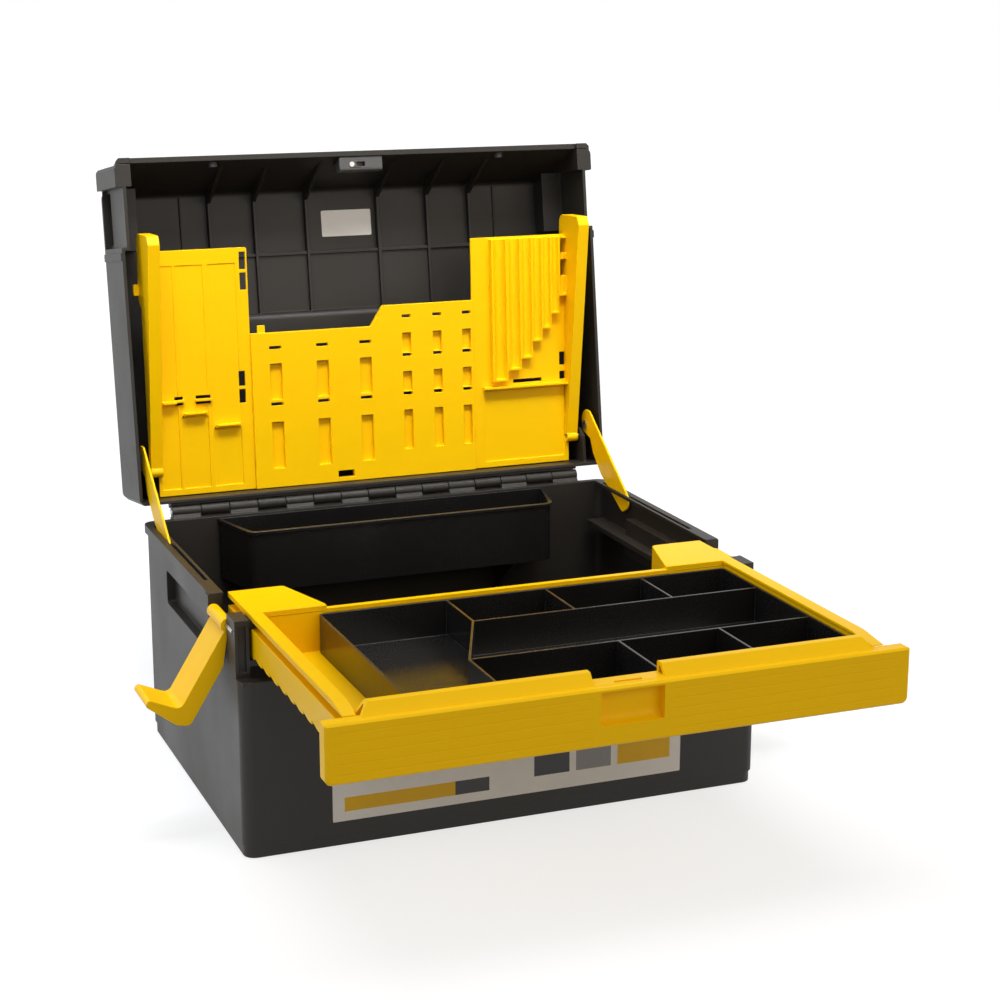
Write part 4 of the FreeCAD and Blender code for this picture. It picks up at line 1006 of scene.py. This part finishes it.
@dataclass
class Studio:
    """Pale floor, white surround and soft lamps."""

    floor_size: float = 14.0
    floor_gap: float = 0.4 * MM
    floor_tone: Colour = (0.4, 0.412, 0.43)
    lift_reach: Span = (0.9, 2.4)
    lift: Span = (0.71, 0.9)
    ambient: float = 0.43
    lamps: list[Lamp] = field(default_factory=lambda: [
        Lamp("overhead", (-0.1, -0.2, 2.0), (0.0, 0.0, 0.2), 1.5, 0.8, 14.0),
        Lamp("lid_lamp", (-0.05, -0.36, 1.35), (0.0, 0.25, 0.42), 1.3, 0.25, 3.1, 64.0),
        Lamp("left_side", (-2.2, 0.1, 1.0), (0.0, 0.0, 0.2), 1.2, 1.6, 9.5),
        Lamp("front_fill", (0.9, -2.6, 1.7), (0.0, 0.0, 0.25), 2.0, 1.4, 15.0, colour=(1.0, 0.8, 0.55)),
    ])

    def build(self) -> None:
        """Lays the floor, lights the lamps and sets the surround."""
        self.lay_floor()
        for lamp in self.lamps:
            lamp.build()
        self.surround()

    def seen(self, g: Graph) -> Socket:
        """Finds rays that look at the surround straight or by mirror or glass.

        Args:
            g: The graph to add to.

        Returns:
            1 for such a ray and 0 for others.
        """
        path = g.add("ShaderNodeLightPath").outputs
        return g.larger(g.larger(path["Is Camera Ray"], path["Is Glossy Ray"]), path["Is Transmission Ray"])

    def lay_floor(self) -> None:
        """Lays a floor that looks near white and still takes the tool box's shadow."""
        deselect_all()
        bpy.ops.mesh.primitive_plane_add(size=self.floor_size, location=(0.0, 0.0, -self.floor_gap))
        floor = bpy.context.object
        floor.name = "studio_floor"
        material = bpy.data.materials.new("studio_floor")
        g = Graph(material)
        card = g.add("ShaderNodeBsdfDiffuse", Color=shade(self.floor_tone))
        lift = g.span(g.measure("LENGTH", g.place), self.lift_reach, self.lift)
        glow = g.add("ShaderNodeEmission", Strength=g.times(self.seen(g), lift))
        both = g.add("ShaderNodeAddShader")
        for target, shader in zip(both.inputs, (card, glow)):
            g.tree.links.new(shader.outputs[0], target)
        g.finish(both)
        dress(floor, material)

    def surround(self) -> None:
        """Makes the world white to the eye and dim as a light."""
        world = bpy.data.worlds.new("studio_white")
        g = Graph(world)
        strength = g.span(self.seen(g), FULL, (self.ambient, 1.0))
        g.finish(g.add("ShaderNodeBackground", Color=(1.0, 1.0, 1.0, 1.0), Strength=strength))
        bpy.context.scene.world = world


@dataclass
class PhotoCamera:
    """Camera at the photograph's angle, for a square picture."""

    azimuth_deg: float = -21.90
    elevation_deg: float = 14.29
    roll_deg: float = 0.12
    place: Point = (-0.6224, -1.6838, 0.6926)
    lens: float = 76.284
    sensor: float = 36.0
    sight: float = 50.0

    def build(self) -> None:
        """Adds the camera and makes it the scene's own."""
        data = bpy.data.cameras.new("photo_camera")
        data.lens = self.lens
        data.sensor_width = self.sensor
        data.clip_end = self.sight
        camera = bpy.data.objects.new("photo_camera", data)
        a = math.radians(self.azimuth_deg)
        e = math.radians(self.elevation_deg)
        back = Vector((math.sin(a) * math.cos(e), -math.cos(a) * math.cos(e), math.sin(e)))
        right = Vector((math.cos(a), math.sin(a), 0.0))
        up = back.cross(right)
        turn = Matrix((right, up, back)).transposed().to_4x4()
        roll = Matrix.Rotation(math.radians(self.roll_deg), 4, "Z")
        camera.matrix_world = Matrix.Translation(self.place) @ turn @ roll
        bpy.context.scene.collection.objects.link(camera)
        bpy.context.scene.camera = camera


def main() -> None:
    """Builds the tool box, the studio and the camera."""
    logging.basicConfig(level=logging.INFO, format="%(name)s: %(message)s")
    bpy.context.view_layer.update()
    finishes = Finishes.mix()
    for part in (Tub(), Lid(), Organiser(), Stays(), Latches(), Drawer(), CarryHandle()):
        part.build(finishes)
        LOG.info("%s done", type(part).__name__)
    Studio().build()
    PhotoCamera().build()
    bpy.context.scene.view_settings.view_transform = "Standard"
    deselect_all()


if __name__ == "__main__":
    main()
